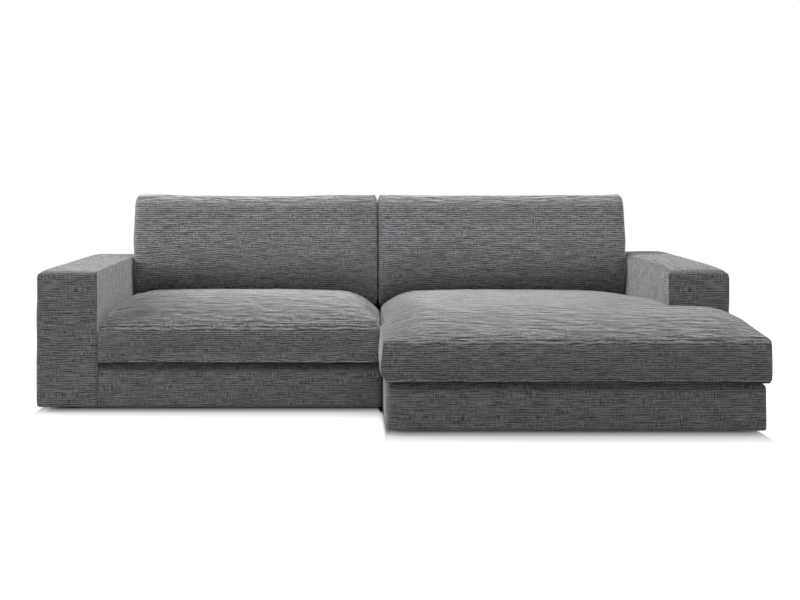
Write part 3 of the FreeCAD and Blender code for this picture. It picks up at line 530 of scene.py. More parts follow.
def ripple(points, length, seed, count=9, stretch=(1, 1, 1)):
    """Gentle undulation with about one standard deviation of height, the same each run."""
    draw = np.random.default_rng(seed)
    total = np.zeros(len(points))
    for _ in range(count):
        way = draw.normal(size=3)
        way = way / np.linalg.norm(way) / np.array(stretch)
        rate = 2 * math.pi / length * draw.uniform(0.6, 1.5)
        total += np.sin(points @ way * rate + draw.uniform(0, 2 * math.pi))
    return total / math.sqrt(count / 2)


def normals_of(points, quads):
    """Unit normal of each point, from the quads round it."""
    a, b, c, d = (points[quads[:, k]] for k in range(4))
    flat = np.cross(c - a, d - b)
    total = np.zeros_like(points)
    for k in range(4):
        np.add.at(total, quads[:, k], flat)
    return total / np.maximum(np.linalg.norm(total, axis=1), 1e-12)[:, None]


def put(name, data):
    """New object in the scene."""
    thing = bpy.data.objects.new(name, data)
    bpy.context.collection.objects.link(thing)
    return thing


def mesh_of(name, points, quads, pattern, hanging=None):
    """Mesh of a piece, with its cloth laid out in metres on the UV map "weave".

    The pattern is each point's place before it was shaped: along the picks, up and round.
    Hanging gives other values for up, where the picks stay level on the shaped piece.
    """
    mesh = bpy.data.meshes.new(name)
    mesh.from_pydata(points.tolist(), [], quads.tolist())
    mesh.update()
    along, up, round_it = (np.asarray(row, float)[quads] for row in pattern)
    level = [np.ptp(row, axis=1)[:, None] < 1e-7 for row in (along, up)]
    u = np.where(level[0], round_it, along)
    if hanging is not None:
        up = np.asarray(hanging, float)[quads]
    v = np.where(level[1], up + round_it, up)
    layer = mesh.uv_layers.new(name="weave")
    layer.data.foreach_set("uv", np.stack([u.ravel(), v.ravel()], axis=1).ravel())
    return put(name, mesh)


def points_of(piece):
    flat = np.empty(len(piece.data.vertices) * 3)
    piece.data.vertices.foreach_get("co", flat)
    return flat.reshape(-1, 3)


def set_points(piece, points):
    piece.data.vertices.foreach_set("co", points.ravel())
    piece.data.update()


def bake_modifiers(piece):
    """Turns the piece and its modifiers into a plain mesh."""
    graph = bpy.context.evaluated_depsgraph_get()
    mesh = bpy.data.meshes.new_from_object(piece.evaluated_get(graph))
    piece.modifiers.clear()
    old = piece.data
    piece.data = mesh
    bpy.data.meshes.remove(old)
    mesh.name = piece.name


def dress(piece, body, slot, nodes, finish=None):
    """Finish, body and replaced nodes of a piece."""
    for face in piece.data.polygons:
        face.use_smooth = True
    normals = np.empty(len(piece.data.vertices) * 3)
    piece.data.vertex_normals.foreach_get("vector", normals)
    part = piece.name.split("_", 1)[-1]
    # The upward and sideways shares also place the painted crease shade and sheen in the cloth's
    # colour.
    shares = {"upward": normals[2::3].clip(0, 1) ** 2, "sideways": normals[0::3] ** 2,
              "taut": np.full(len(piece.data.vertices), tautness.get(part, 0.0))}
    for name, share in shares.items():
        piece.data.attributes.new(name, "FLOAT", "POINT").data.foreach_set("value", share)
    piece.data.materials.clear()
    piece.data.materials.append(finishes[finish or slot])
    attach(piece, body)
    if nodes:
        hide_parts(*nodes)
    return piece


def subdivided(piece):
    modifier = piece.modifiers.new("rounding", "SUBSURF")
    modifier.levels = modifier.render_levels = 1
    bake_modifiers(piece)


def loosen(part, unit, points, quads, start):
    """Moves points by the unevenness of their cloth, and returns their normals before that."""
    height, length, seed, stretch, lowest, highest, sunk = looseness[part]
    normal = normals_of(points, quads)
    rise = height * ripple(start, length, seed + units.index(unit), stretch=stretch)
    points += normal * (rise.clip(lowest, highest) - sunk)[:, None]
    return normal


def plan_grid(unit, xs, ys):
    """Grid lines of a unit's plan and its kept cells: the chaise has none where its arm stands."""
    if unit == "left":
        return xs, ys, None
    arm_x = arm_boxes[unit][0][0]
    xs, ys = np.unique(np.append(xs, arm_x)), np.unique(np.append(ys, y_arm))
    return xs, ys, lambda x, y, z: (x < arm_x) | (y < y_arm)


# Arms

def make_arm(unit):
    """Foam-padded arm: soft outer edge, sewn front panel, cloth drawn in at its seams."""
    low, high = arm_boxes[unit]
    (x0, y0, z0), (x1, y1, z1) = low, high
    inner, outer = (x1, x0) if unit == "left" else (x0, x1)
    out = math.copysign(1, outer - inner)
    near_seam = ((inner + out * arm_seam, 0.008),)
    xs = lines(x0, x1, 0.012, near_seam, edge=0.036, fine_pitch=0.0025)
    ys = lines(y0, y1, 0.018, edge=0.028, fine_pitch=0.004)
    zs = lines(z0, z1, 0.014, edge=0.036, fine_pitch=0.004)
    points, quads = blocks(xs, ys, zs)
    start = points.copy()
    x, y, z = start.T
    across, along, up = ((start - low) / (high - low)).clip(0, 1).T
    middle = (1 - (2 * across - 1) ** 4) * (1 - (2 * along - 1) ** 8)
    crown = arm_lift[unit] + arm_crown[unit] * middle - arm_rear_fall[unit] * along ** 2
    round_edge(points, (0, 2), (outer, z1), (-out, -1), arm_outer_top)
    round_edge(points, (0, 2), (inner, z1), (out, -1), arm_inner_top[unit])
    round_edge(points, (0, 2), (outer, z0), (-out, 1), arm_foot_edge)
    for side_y, inward in ((y0, 1), (y1, -1)):
        round_edge(points, (0, 1), (outer, side_y), (-out, inward), arm_upright_edge)
        round_edge(points, (0, 1), (inner, side_y), (out, inward), arm_sewn_edge)
        round_edge(points, (2, 1), (z1, side_y), (-1, inward), arm_edge)
        round_edge(points, (2, 1), (z0, side_y), (1, inward), base_bottom)
    points[:, 2] += up ** 6 * crown
    normal = loosen("arm", unit, points, quads, start)
    front = (y < y0 + hair) * np.clip((z - z0) / 0.02, 0, 1)
    groove = hill(np.abs(x - inner) - arm_seam, groove_width) * front
    proud = hill(np.abs(x - inner), proud_width) * (y < y0 + 0.006)
    points += normal * (proud_height * proud - groove_depth * groove)[:, None]
    if unit == "left":
        ridge = hill(np.hypot(x - inner, z - z1), ridge_width)
        points += normal * (ridge_height * ridge)[:, None]
    points[(points[:, 0] - inner) * out < 0, 0] = inner
    piece = mesh_of(unit + "_arm", points, quads, (y, z, np.abs(x - inner)))
    dress(piece, unit + "_unit", "upholstery", [unit + "_arm_cover", unit + "_arm_foam"])


# Raked backs

def back_front(z):
    """Front face of the covered back at a height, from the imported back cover."""
    return back_boxes["left"][0][1] + (z - z_deck) * math.tan(rake)


def make_back(unit):
    """Padded back: raked front, rounded top, and a rear panel that runs down to the floor's gap."""
    low, high = back_boxes[unit]
    rear, top = high[1], high[2]
    xs = lines(low[0], high[0], 0.02, edge=0.012, fine_pitch=0.004)
    zs = lines(low[2], top, 0.016, edge=0.03, fine=((z_deck, 0.004),), fine_pitch=0.004)
    # The grid's depth is a share of the way to the rear, of which the panel has the last part.
    shares = np.append(lines(0.0, 0.95, 0.12), [panel_share, 1.0])
    points, quads = blocks(xs, shares, zs, lambda x, y, z: (z > z_deck) | (y > panel_share))
    start = points.copy()
    x, share, z = start.T
    on_panel = share > 0.96
    front = np.where(z >= z_deck - hair, back_front(z), back_front(z_deck))
    panel = rear - cloth_thickness * (1 - (share - panel_share) / (1 - panel_share))
    body = front + (rear - cloth_thickness - front) * share / panel_share
    points[:, 1] = np.where(on_panel, panel, body)
    above = z > top - 2.5 * back_edge
    y_top = back_front(top)
    round_edge(points, (1, 2), (rear, top), (-1, -1), back_edge, above)
    # The front's edge is rounded with the rake taken off, which is then put back.
    points[:, 1] -= back_front(points[:, 2]) - y_top
    round_edge(points, (1, 2), (y_top, top), (1, -1), back_edge, above)
    points[:, 1] += back_front(points[:, 2]) - y_top
    loosen("back", unit, points, quads, start)
    points[on_panel & (z < top - 0.05) & (points[:, 1] > rear), 1] = rear
    # The rear panel is tacked close beside the arm, so that no timber shows in the joint.
    arm_side = low[0] if unit == "left" else high[0]
    points[on_panel & (np.abs(x - arm_side) < hair), 0] = arm_side
    piece = mesh_of(unit + "_back", points, quads, (x, z, share * 0.15))
    dress(piece, unit + "_unit", "upholstery", [unit + "_back_cover", unit + "_back_foam"])


# Bases: a band round the closed sides, turned in over the deck and under the rails

def make_base(unit):
    """Padded band round a unit's closed sides, open in its middle, at its rear and at its arm."""
    (x0, y0, z0), (x1, y1, z1) = base_boxes[unit]
    lobe = unit == "chaise"
    arm_x = arm_boxes[unit][0][0]
    joint_x, joint_in = (x0, 1) if lobe else (x1, -1)
    fine_x, fine_y = (((arm_x, 0.008),), ((y_arm, 0.02),)) if lobe else ((), ())
    xs = lines(x0, x1, 0.02, edge=0.028, fine=fine_x, fine_pitch=0.0035)
    ys = lines(y0, y1, 0.02, edge=0.036, fine=fine_y, fine_pitch=0.004)
    zs = lines(z0, z1, 0.012, edge=0.036, fine_pitch=0.004)
    xs, ys, keep = plan_grid(unit, xs, ys)
    points, quads = blocks(xs, ys, zs, keep)
    start = points.copy()
    middle_x, middle_y, _ = start[quads].mean(axis=1).T
    flat_x, flat_y, flat_z = (np.ptp(start[quads][:, :, k], axis=1) < 1e-9 for k in range(3))
    window = flat_z & (np.abs(middle_x - joint_x) > lip) & (middle_y - y0 > lip)
    open_side = flat_y & (middle_y > y1 - 0.002)
    if lobe:
        window &= middle_x < x1 - lip
        open_side |= flat_x & (np.abs(middle_x - arm_x) < 0.002) & (middle_y > y_arm)
        open_side |= flat_y & (middle_y > y_arm - 0.002) & (middle_x > arm_x)
    else:
        open_side |= flat_x & (np.abs(middle_x - x0) < 0.002)
        open_side &= middle_y > y0 + front_strip
    quads = quads[~(window | open_side)]
    if lobe:
        points[:, 0] += base_beyond * (points[:, 0] > x1 - hair)
        x1 += base_beyond
    # Below the cushions the front is drawn in, less so at the corners.
    set_back = base_recess * (1 - (z1 - start[:, 2]) / base_recess_height).clip(0, 1) ** 2
    from_corner = np.abs(start[:, 0] - joint_x)
    if lobe:
        from_corner = np.minimum(from_corner, np.abs(start[:, 0] - x1))
    set_back *= (from_corner / base_corner_run).clip(0.2, 1)
    edges = ((z1, -1, base_top, base_top_side), (z0, 1, base_bottom, base_bottom))
    for z, inward, front_radius, side_radius in edges:
        round_edge(points, (1, 2), (y0, z), (1, inward), front_radius)
        for x, away in ((joint_x, joint_in), (x1, -1))[:1 + lobe]:
            near = np.abs(start[:, 0] - x) < 0.1
            round_edge(points, (0, 2), (x, z), (away, inward), side_radius, near)
    points[:, 1] += set_back * (1 - (start[:, 1] - y0) / 0.05).clip(0, 1)
    round_edge(points, (0, 1), (joint_x, y0), (joint_in, 1), base_edge)
    if lobe:
        round_edge(points, (0, 1), (x1, y0), (-1, 1), lobe_edge)
    else:
        in_front = start[:, 1] < y0 + front_strip
        round_edge(points, (0, 1), (x0, y0), (1, 1), beside_arm_edge)
        round_edge(points, (0, 2), (x0, z1), (1, -1), beside_arm_top, in_front)
    loosen("base", unit, points, quads, start)
    used, quads = np.unique(quads, return_inverse=True)
    x, y, z = start[used].T
    piece = mesh_of(unit + "_base", points[used], quads.reshape(-1, 4), (x, z, y))
    wall = piece.modifiers.new("cloth", "SOLIDIFY")
    wall.thickness = cloth_thickness
    wall.offset = -1
    bake_modifiers(piece)
    dress(piece, unit + "_unit", "upholstery", [unit + "_base_cover", unit + "_base_foam"])


# Deck and dust cloths

def plan_cloth(name, unit, box, thickness, sag, seed):
    """Flat cloth over the seat's plan, sagging a little between its edges."""
    low, high = box
    xs, ys = (lines(low[k], high[k], 0.03, edge=0.008, fine_pitch=0.004) for k in range(2))
    xs, ys, keep = plan_grid(unit, xs, ys)
    points, quads = blocks(xs, ys, np.array([high[2] - thickness, high[2]]), keep)
    x, y, z = points.T.copy()
    inside = np.min([x - low[0], high[0] - x, y - low[1], high[1] - y], axis=0)
    if unit == "chaise":
        from_arm = np.minimum(x - arm_boxes[unit][0][0], 0), np.minimum(y - y_arm, 0)
        inside = np.minimum(inside, np.hypot(*from_arm))
    sagging = (0.55 + 0.2 * ripple(points, 0.4, seed)).clip(0, 1)
    points[:, 2] -= sag * sagging * (inside / 0.12).clip(0, 1)
    return mesh_of(name, points, quads, (x, z, y))


def deck_path(unit, inset, z):
    """Loop round the seat's plan, inset from its sides."""
    low, high = deck_boxes[unit]
    x0, x1, y0, y1 = low[0] + inset, high[0] - inset, low[1] + inset, high[1] - inset
    if unit == "left":
        plan = [(x0, y0), (x1, y0), (x1, y1), (x0, y1)]
    else:
        x_arm, y_front = arm_boxes[unit][0][0] - inset, y_arm - inset
        plan = [(x0, y0), (x1, y0), (x1, y_front), (x_arm, y_front), (x_arm, y1), (x0, y1)]
    return [(x, y, z) for x, y in plan + plan[:1]]


def make_deck(unit):
    low, high = deck_boxes[unit]
    pad = high[2] - corners(unit + "_deck_felt")[0][2] - rest_gap
    piece = plan_cloth(unit + "_deck", unit, (low, high), pad, 0.004, 41)
    dress(piece, unit + "_unit", "lining", [unit + "_deck_cover", unit + "_deck_felt"])


def make_dust_cloth(unit):
    low, high = dust_boxes[unit]
    piece = plan_cloth(unit + "_dust_cloth", unit, (low, high), 0.001, 0.003, 43)
    width, length = high[0] - low[0], high[1] - low[1]
    area = width * length
    if unit == "chaise":
        area -= (high[0] - arm_boxes[unit][0][0]) * (high[1] - y_arm)
    dress(piece, unit + "_unit", "dust_cloth", [unit + "_dust_cover"])
    rails = [unit + "_front_rail", unit + "_side_rails", unit + "_rear_rail"]


# Cushions

def arc_rise(distance, run, rise):
    """Height over the seam at a distance in from it, level from the end of the run."""
    radius = (run * run + rise * rise) / (2 * rise)
    left = np.clip(run - distance, 0, run)
    return rise - radius + np.sqrt(radius * radius - left * left)


def filled(distance, run):
    """Share of the crown at a distance in from a side: steep near the side, slow further in."""
    near = arc_rise(distance.clip(0), run, crown_rise)
    slow = arc_rise(distance.clip(0), 3 * run, crown_rise)
    return (0.82 * near + 0.18 * slow) / crown_rise


def swell(share):
    """Soft step from 0 to 1."""
    return share * share * (3 - 2 * share)


def roll(share, fullness=2.2):
    """Rise of a rolled edge, from 0 at the edge to 1 at the end of the roll."""
    return np.sqrt(1 - (1 - np.clip(share, 0, 1)) ** fullness)


def settle(piece, pinned, pressure=2.0, cap=0.008, frames=20):
    """Cloth filled by pressure: pinned points stay, and no point moves further than cap."""
    start = points_of(piece)
    group = piece.vertex_groups.new(name="seams")
    for index, weight in enumerate(pinned):
        if weight > 0.01:
            group.add([index], float(weight), "REPLACE")
    modifier = piece.modifiers.new("cloth", "CLOTH")
    settings = {"quality": 4, "mass": 0.4, "tension_stiffness": 30, "compression_stiffness": 20,
                "shear_stiffness": 8, "bending_stiffness": 2.0, "air_damping": 4,
                "shrink_min": -0.012, "use_pressure": True, "uniform_pressure_force": pressure,
                "vertex_group_mass": group.name}
    for name, value in settings.items():
        setattr(modifier.settings, name, value)
    modifier.settings.effector_weights.gravity = 0
    modifier.point_cache.frame_start = 1
    modifier.point_cache.frame_end = frames
    scene = bpy.context.scene
    for number in range(1, frames + 1):
        scene.frame_set(number)
    graph = bpy.context.evaluated_depsgraph_get()
    moved = piece.evaluated_get(graph).data
    flat = np.empty(len(moved.vertices) * 3)
    moved.vertices.foreach_get("co", flat)
    shift = flat.reshape(-1, 3) - start
    piece.modifiers.clear()
    piece.vertex_groups.clear()
    scene.frame_set(1)
    length = np.linalg.norm(shift, axis=1)
    shift *= (np.minimum(length, cap) / np.maximum(length, 1e-9))[:, None]
    set_points(piece, start + shift)


def seat_plan(unit):
    """Left side, side against the arm or joint, far side, front, and line of the arm's front."""
    low, high = seat_boxes[unit]
    right = arm_boxes[unit][0][0] - 0.002 if unit == "chaise" else high[0]
    return low[0], right, high[0], low[1], y_arm - 0.002


def seat_top(unit, x, y):
    """Height of a seat cushion's top: crowned between its sides, rolled over at the front."""
    left, right, far, front, meet = seat_plan(unit)
    behind = y - front
    middle = z_deck + np.interp(behind, *front_profile[unit])
    middle -= (seat_crown[unit] - seat_crown_at_pillow) * swell(np.clip(y / 0.40, 0, 1))
    (y_left, lift_left), (y_right, lift_right) = side_edge[unit]
    over = ((x - left) / (far - left)).clip(0, 1)
    edge = z_deck + seat_side + np.interp(y, y_left, lift_left) * (1 - over)
    edge = np.minimum(edge + np.interp(y, y_right, lift_right) * over, middle)
    left_run, right_run = crown_run[unit]
    share = filled(x - left - side_draw, left_run)
    if unit == "chaise":
        pressed = np.interp(y, *beside_arm_share)
        beside = pressed + (1 - pressed) * filled(right - x, right_run)
        share = np.minimum(share, np.where(y > meet, beside, filled(far - x - side_draw, lobe_run)))
    else:
        share = np.minimum(share, filled(right - x - side_draw, right_run))
    return edge + (middle - edge) * share


def make_seat(unit):
    """Crowned seat cushion: flat underside, seam all round its foot, rolled front."""
    lobe = unit == "chaise"
    left, right, far, front, meet = seat_plan(unit)
    rear = seat_boxes[unit][1][1]
    base, seam, foot = z_deck, z_deck + seat_side, z_deck + seam_height
    xs = lines(left, far, seat_pitch, edge=0.03, fine_pitch=seat_fine_pitch)
    ys = lines(front, rear, seat_pitch, edge=0.03, fine_pitch=seat_fine_pitch)
    ys = np.concatenate([[front], front + front_marks, ys[ys > front + front_marks_end]])
    zs = np.concatenate([base + foot_marks, lines(base + 0.03, seam - 0.012, 0.016),
                         [seam - 0.006, seam]])
    keep = None
    if lobe:
        xs = np.sort(np.append(xs[np.abs(xs - right) > too_near], right))
        ys = np.sort(np.append(ys[np.abs(ys - meet) > too_near], meet))
        keep = lambda x, y, z: (x < right) | (y < meet)
    points, quads = blocks(xs, ys, np.unique(zs), keep)
    start = points.copy()
    x, y, z = start.T
    behind = y - front
    share = (z - base) / seat_side
    points[:, 2] = base + share * (seat_top(unit, x, y) - base)
    low_part = z < base + foot_band
    points[low_part, 2] = z[low_part]
    # Sides bulge between their seams and are drawn in at them.
    bulge = 1 - (2 * share.clip(0, 1) - 1) ** 2
    pull = side_draw * (1 - bulge)
    ridge = hill(z - foot, seam_width)
    tuck = np.clip((foot - z) / seam_height, 0, 1)
    round_foot = foot_draw * (1 - roll((z - base) / foot_rise, 2.0))
    on_left, on_far, on_front = x < left + hair, x > far - hair, y < front + hair
    close_front = (1 - np.clip(behind / front_run, 0, 1)) ** 2
    side = pull * (1 - 0.7 * close_front * (not lobe)) + side_tuck * tuck - side_ridge * ridge
    side = side + (chaise_draw * lobe + round_foot) * close_front
    points[:, 0] += np.where(on_left, side, 0)
    points[:, 0] -= np.where(on_far, side * (0.4 if lobe else 1.0) - 0.003 * lobe, 0)
    # The front is drawn in at its seam, and the first rows of the top follow its upper edge.
    drawn = 0.4 * pull + front_tuck * tuck - front_ridge * ridge
    drawn = drawn - front_belly * bulge + front_belly
    follow = np.where(z > seam - hair, (1 - behind / 0.04).clip(0, 1), 1.0 * on_front)
    points[:, 1] += drawn * follow
    if lobe:
        inner_pull = 0.5 * pull + inner_tuck * tuck
        on_inner = (np.abs(x - right) < hair) & (y > meet - hair)
        on_rear = (np.abs(y - meet) < hair) & (x > right + hair)
        points[:, 0] -= np.where(on_inner, inner_pull, 0)
        points[:, 1] -= np.where(on_rear, inner_pull, 0)
        # Ahead of the other unit the chaise's cushion fills out over the joint.
        ahead = swell(((joint_bulge_start - y) / 0.12).clip(0, 1))
        near = (1 - (x - left) / 0.09).clip(0, 1) ** 2
        points[:, 0] -= joint_bulge * ahead * np.interp(share, *joint_bulge_share) * near
        at_end = (x > far - 0.020) & (y < meet - 0.05) & (z < base + 0.02)
        round_edge(points, (0, 2), (far + 0.001, base), (-1, 1), lobe_foot, at_end)
        # The lobe's upper corner is soft.
        lobe_part = y < meet + hair
        top_drop = lobe_top_drop * (1 - roll((far - x) / lobe_top_run, 2.0))
        points[:, 2] -= np.where(lobe_part & (z > seam - hair), top_drop, 0)
        side_drop = lobe_side_drop * (1 - roll((seam - z) / lobe_side_run + 0.1, 2.0))
        points[:, 0] -= np.where(on_far & lobe_part, side_drop, 0)
    else:
        round_edge(points, (0, 1), (left + 0.002, front + 0.002), (1, 1), arm_corner)
    round_edge(points, (0, 1), (far - 0.002, front + 0.002), (-1, 1), front_corner[unit])
    if lobe:
        corner = (far - side_draw, meet - 0.001)
        round_edge(points, (0, 1), corner, (-1, -1), lobe_corner, x > right + 0.05)
    piece = mesh_of(unit + "_seat_cushion", points, quads, (x, z, behind))
    under_pillow = np.clip((y - 0.25) / 0.12, 0, 1)
    seams = np.clip(hill(z - foot, 0.006) + (z <= base + hair), 0, 1)
    settle(piece, np.clip(seams + under_pillow, 0, 1))
    points = points_of(piece)
    soft = seat_give * ripple(start, seat_give_length, 51 + lobe, stretch=(1.8, 1, 1))
    soft = soft.clip(-seat_give_most, seat_give_most) * (1 - under_pillow)
    points = points + normals_of(points, quads) * soft[:, None]
    wave = seam_wave * ripple(start, seam_wave_length, 61 + lobe)
    points[:, 2] += wave * hill(z - foot, 0.005) * on_front
    # Flat where it rests, clear of the arm and of the other cushion.
    points[:, 2] = np.maximum(points[:, 2], base)
    points[(z <= base + hair) & ~((x > far - 0.020) & lobe), 2] = base
    over_joint = (y < joint_bulge_start) & lobe
    least_x = np.where(over_joint, left - joint_bulge - 0.004, left)
    points[:, 0] = np.maximum(points[:, 0], least_x)
    if lobe:
        beside = (x <= right + hair) & (y >= meet - hair)
        points[beside, 0] = np.minimum(points[beside, 0], right)
        behind_lobe = x > right + hair
        points[behind_lobe, 1] = np.minimum(points[behind_lobe, 1], meet)
    else:
        points[:, 0] = np.minimum(points[:, 0], far)
        # Below the back cushions its end is drawn in, clear of the other unit's back cushion.
        under = ((y - 0.370) / 0.045).clip(0, 1)
        points[:, 0] -= end_draw * under * (1 - (far - x) / 0.09).clip(0, 1)
    set_points(piece, points)
    subdivided(piece)
    nodes = [unit + "_seat_cushion_cover", unit + "_seat_cushion_core"]
    dress(piece, unit + "_seat_cushion", "upholstery", nodes)


def over_arm(z):
    """How far a back cushion's outer side stands out over the arm, at a height."""
    return pillow_over_arm * ((z - over_arm_height) / over_arm_rise).clip(0, 1)


def make_pillow(unit):
    """Back cushion: leans on the back, sits on the seat's crown, full in its middle."""
    left, right = seat_plan(unit)[:2]
    joint = (base_boxes["left"][1][0] + base_boxes["chaise"][0][0]) / 2 - pillow_joint_shift
    x0, x1 = left + pillow_arm_gap, joint - pillow_joint_gap
    if unit == "chaise":
        x0, x1 = joint + pillow_joint_gap, right - pillow_arm_gap
    z_foot = z_deck + seat_side
    front_seam = pillow_depth - front_seam_inset
    top = pillow_boxes[unit][1][2] - pillow_top_below
    reach = (top - z_foot - pillow_top_depth * math.sin(rake)) / math.cos(rake)
    xs = lines(x0, x1, seat_pitch, edge=0.036, fine_pitch=seat_fine_pitch)
    hs = [*lines(0, 0.84, 0.035), 0.87, 0.895, 0.92, 0.94, 0.957, 0.972, 0.984, 0.993, 1.0]
    near_seam = ((front_seam, 0.006),)
    ds = lines(0.0, pillow_depth, 0.015, fine=near_seam, edge=0.02, fine_pitch=0.0035)
    points, quads = blocks(xs, np.array(hs) * reach, ds)
    x, height, depth = points.T.copy()
    pattern = (x, height, pillow_depth - depth)
    share = depth / pillow_depth
    # Sides: full at mid depth, drawn in at the front and rear seams.
    side_in = side_draw * (1 - 2 * share).clip(0, 1) ** 6
    side_in = side_in + pillow_front_draw * ((share - 0.45) / 0.3).clip(0, 1) ** 2
    ridge = pillow_ridge * hill(depth - front_seam, pillow_ridge_width) * (reach - height > 0.03)
    middle, half = (x0 + x1) / 2, (x1 - x0) / 2
    way = np.sign(x - middle)
    ends = np.clip((np.abs(x - middle) - half) / 0.001 + 1, 0, 1)
    outer = way == (-1 if unit == "left" else 1)
    side_in = np.where(outer, side_in * 0.4, side_in)
    points[:, 0] -= way * ends * (side_in - ridge).clip(0)
    for edge_x, inward in ((x0, 1), (x1, -1)):
        at_arm = (inward > 0) == (unit == "left")
        front_x, rear_x = edge_x + inward * 0.001, edge_x + inward * 0.002
        radius = pillow_arm_corner if at_arm else pillow_joint_corner
        round_edge(points, (0, 2), (front_x, pillow_depth), (inward, -1), radius)
        round_edge(points, (0, 2), (rear_x, 0), (inward, 1), pillow_rear_corner)
        round_edge(points, (0, 1), (edge_x, reach), (inward, -1), pillow_top_corner)
        if not at_arm:
            round_edge(points, (0, 1), (edge_x, 0), (inward, 1), pillow_rear_corner)
    plan_x, height, depth = points.T.copy()
    share, up, below = depth / pillow_depth, height / reach, reach - height
    from_side = (half - np.abs(plan_x - middle)).clip(0)
    crown = arc_rise(from_side, pillow_crown_run, pillow_crown_rise)
    full = pillow_depth + crown + np.interp(up, *pillow_fullness)
    top_roll = roll(below / front_roll_run, 2.0)
    front_depth = full * (1 - roll_share + roll_share * top_roll)
    rear_depth = rear_roll * (1 - roll(below / rear_roll_run, 2.0))
    out = rear_depth + (front_depth - rear_depth) * share
    y = back_front(z_foot) + height * math.sin(rake) - (out + rest_gap) * math.cos(rake)
    # The underside lies on the seat: heights are spread from the seat's top to the cushion's.
    lowest = z_foot + (out + rest_gap) * math.sin(rake)
    z = height * math.cos(rake) + lowest
    drop = seat_top(unit, plan_x, y) + rest_gap - lowest
    corner_lift = (np.abs(plan_x - middle) / half) ** 4 * up ** 3
    z = z + drop * (1 - up) ** 1.5 + pillow_corner_lift * corner_lift
    # Over the arm the cushion's outer side fills out.
    spread = over_arm(z) * (1 - from_side / 0.10).clip(0, 1) * outer
    points = np.stack([plan_x + way * spread, y, z], axis=1)
    hanging = z / math.cos(rake) + full * roll_share * (1 - top_roll) * share
    piece = mesh_of(unit + "_back_cushion", points, quads, pattern, hanging)
    settle(piece, np.clip((height < hair) * 1.0 + (depth < hair) * (up < 0.5), 0, 1))
    points = points_of(piece)
    normal = normals_of(points, quads)
    start = np.stack([x, height, depth], axis=1)
    wave = ripple(start, pillow_give_length, 71 + (unit == "left"), stretch=(1.3, 1, 4))
    free = np.clip(up / 0.2, 0, 1) * share * (1 - normal[:, 0] ** 2)
    soft = (pillow_give * wave * free).clip(-pillow_give_most, pillow_give_most)
    points = points + normal * soft[:, None]
    # Clear of the back it leans on, of the seat it stands on and of its neighbour.
    limit = back_front(points[:, 2]) - rest_gap
    leaning = (points[:, 2] < back_boxes["left"][1][2] + 0.01) & (points[:, 1] > limit)
    points[leaning, 1] = limit[leaning]
    seat = seat_top(unit, points[:, 0], points[:, 1]) + rest_gap
    points[:, 2] = np.maximum(points[:, 2], seat)
    beyond = over_arm(points[:, 2])
    lowest_x, highest_x = x0 - beyond * (unit == "left"), x1 + beyond * (unit == "chaise")
    points[:, 0] = points[:, 0].clip(lowest_x, highest_x)
    set_points(piece, points)
    subdivided(piece)
    nodes = [unit + "_back_cushion_cover", unit + "_back_cushion_core"]
    dress(piece, unit + "_back_cushion", "upholstery", nodes)


# What repeats along a path: zip teeth, stitches, staples

def built(name, builder):
    """Object from what a builder holds, its faces outwards."""
    mesh = bpy.data.meshes.new(name)
    bmesh.ops.recalc_face_normals(builder, faces=builder.faces[:])
    builder.to_mesh(mesh)
    builder.free()
    return put(name, mesh)


def small_shape(name, size, bevel, bend=0.0):
    """Small rounded bar along x, with its ends bent down when bend is set."""
    builder = bmesh.new()
    bmesh.ops.create_cube(builder, size=1.0)
    if bend:
        long = [edge for edge in builder.edges if np.ptp([v.co.x for v in edge.verts]) > 0.5]
        bmesh.ops.subdivide_edges(builder, edges=long, cuts=3, use_grid_fill=True)
    for vertex in builder.verts:
        x, y, z = vertex.co
        drop = bend * max(0.0, abs(x) - 0.3) / 0.2
        vertex.co = (x * size[0], y * size[1], z * size[2] - drop)
    bmesh.ops.bevel(builder, geom=builder.edges[:], offset=bevel, segments=1, affect="EDGES")
    return built(name, builder)


def row_tree():
    """Geometry Nodes tree: copies of a shape along a path, at a spacing, a little uneven."""
    tree = bpy.data.node_groups.new("row_along_path", "GeometryNodeTree")
    kinds = {"Path": "Geometry", "Shape": "Object", "Spacing": "Float", "Unevenness": "Float",
             "Finish": "Material"}
    for name, kind in kinds.items():
        tree.interface.new_socket(name, in_out="INPUT", socket_type="NodeSocket" + kind)
    tree.interface.new_socket("Row", in_out="OUTPUT", socket_type="NodeSocketGeometry")
    start = Value(tree)
    source = start.make("NodeGroupInput").socket.node
    path, shape, spacing, unevenness, finish = (Value(tree, source.outputs[name]) for name in kinds)
    curve = start.make("GeometryNodeMeshToCurve", {}, {"Mesh": path})
    inputs = {"Curve": curve, "Length": spacing}
    points = start.make("GeometryNodeCurveToPoints", {"mode": "LENGTH"}, inputs)
    tangent = Value(tree, points.socket.node.outputs["Tangent"])
    axes = {"axis": "X", "pivot_axis": "Z"}
    turned = start.make("FunctionNodeAlignRotationToVector", axes, {"Vector": tangent})
    # Sockets 2 and 3 are the ends of the range of numbers.
    chances = {2: -1.0, 3: 1.0, "Seed": 7}
    chance = start.make("FunctionNodeRandomValue", {"data_type": "FLOAT"}, chances, output=1)
    scale = chance * unevenness + 1
    item = start.make("GeometryNodeObjectInfo", {}, {"Object": shape}, output="Geometry")
    inputs = {"Points": points, "Instance": item, "Rotation": turned, "Scale": scale}
    row = start.make("GeometryNodeInstanceOnPoints", {}, inputs)
    whole = start.make("GeometryNodeRealizeInstances", {}, {"Geometry": row})
    done = start.make("GeometryNodeSetMaterial", {}, {"Geometry": whole, "Material": finish})
    start.make("NodeGroupOutput", {}, {"Row": done}, output=None)
    return tree


rows = row_tree()


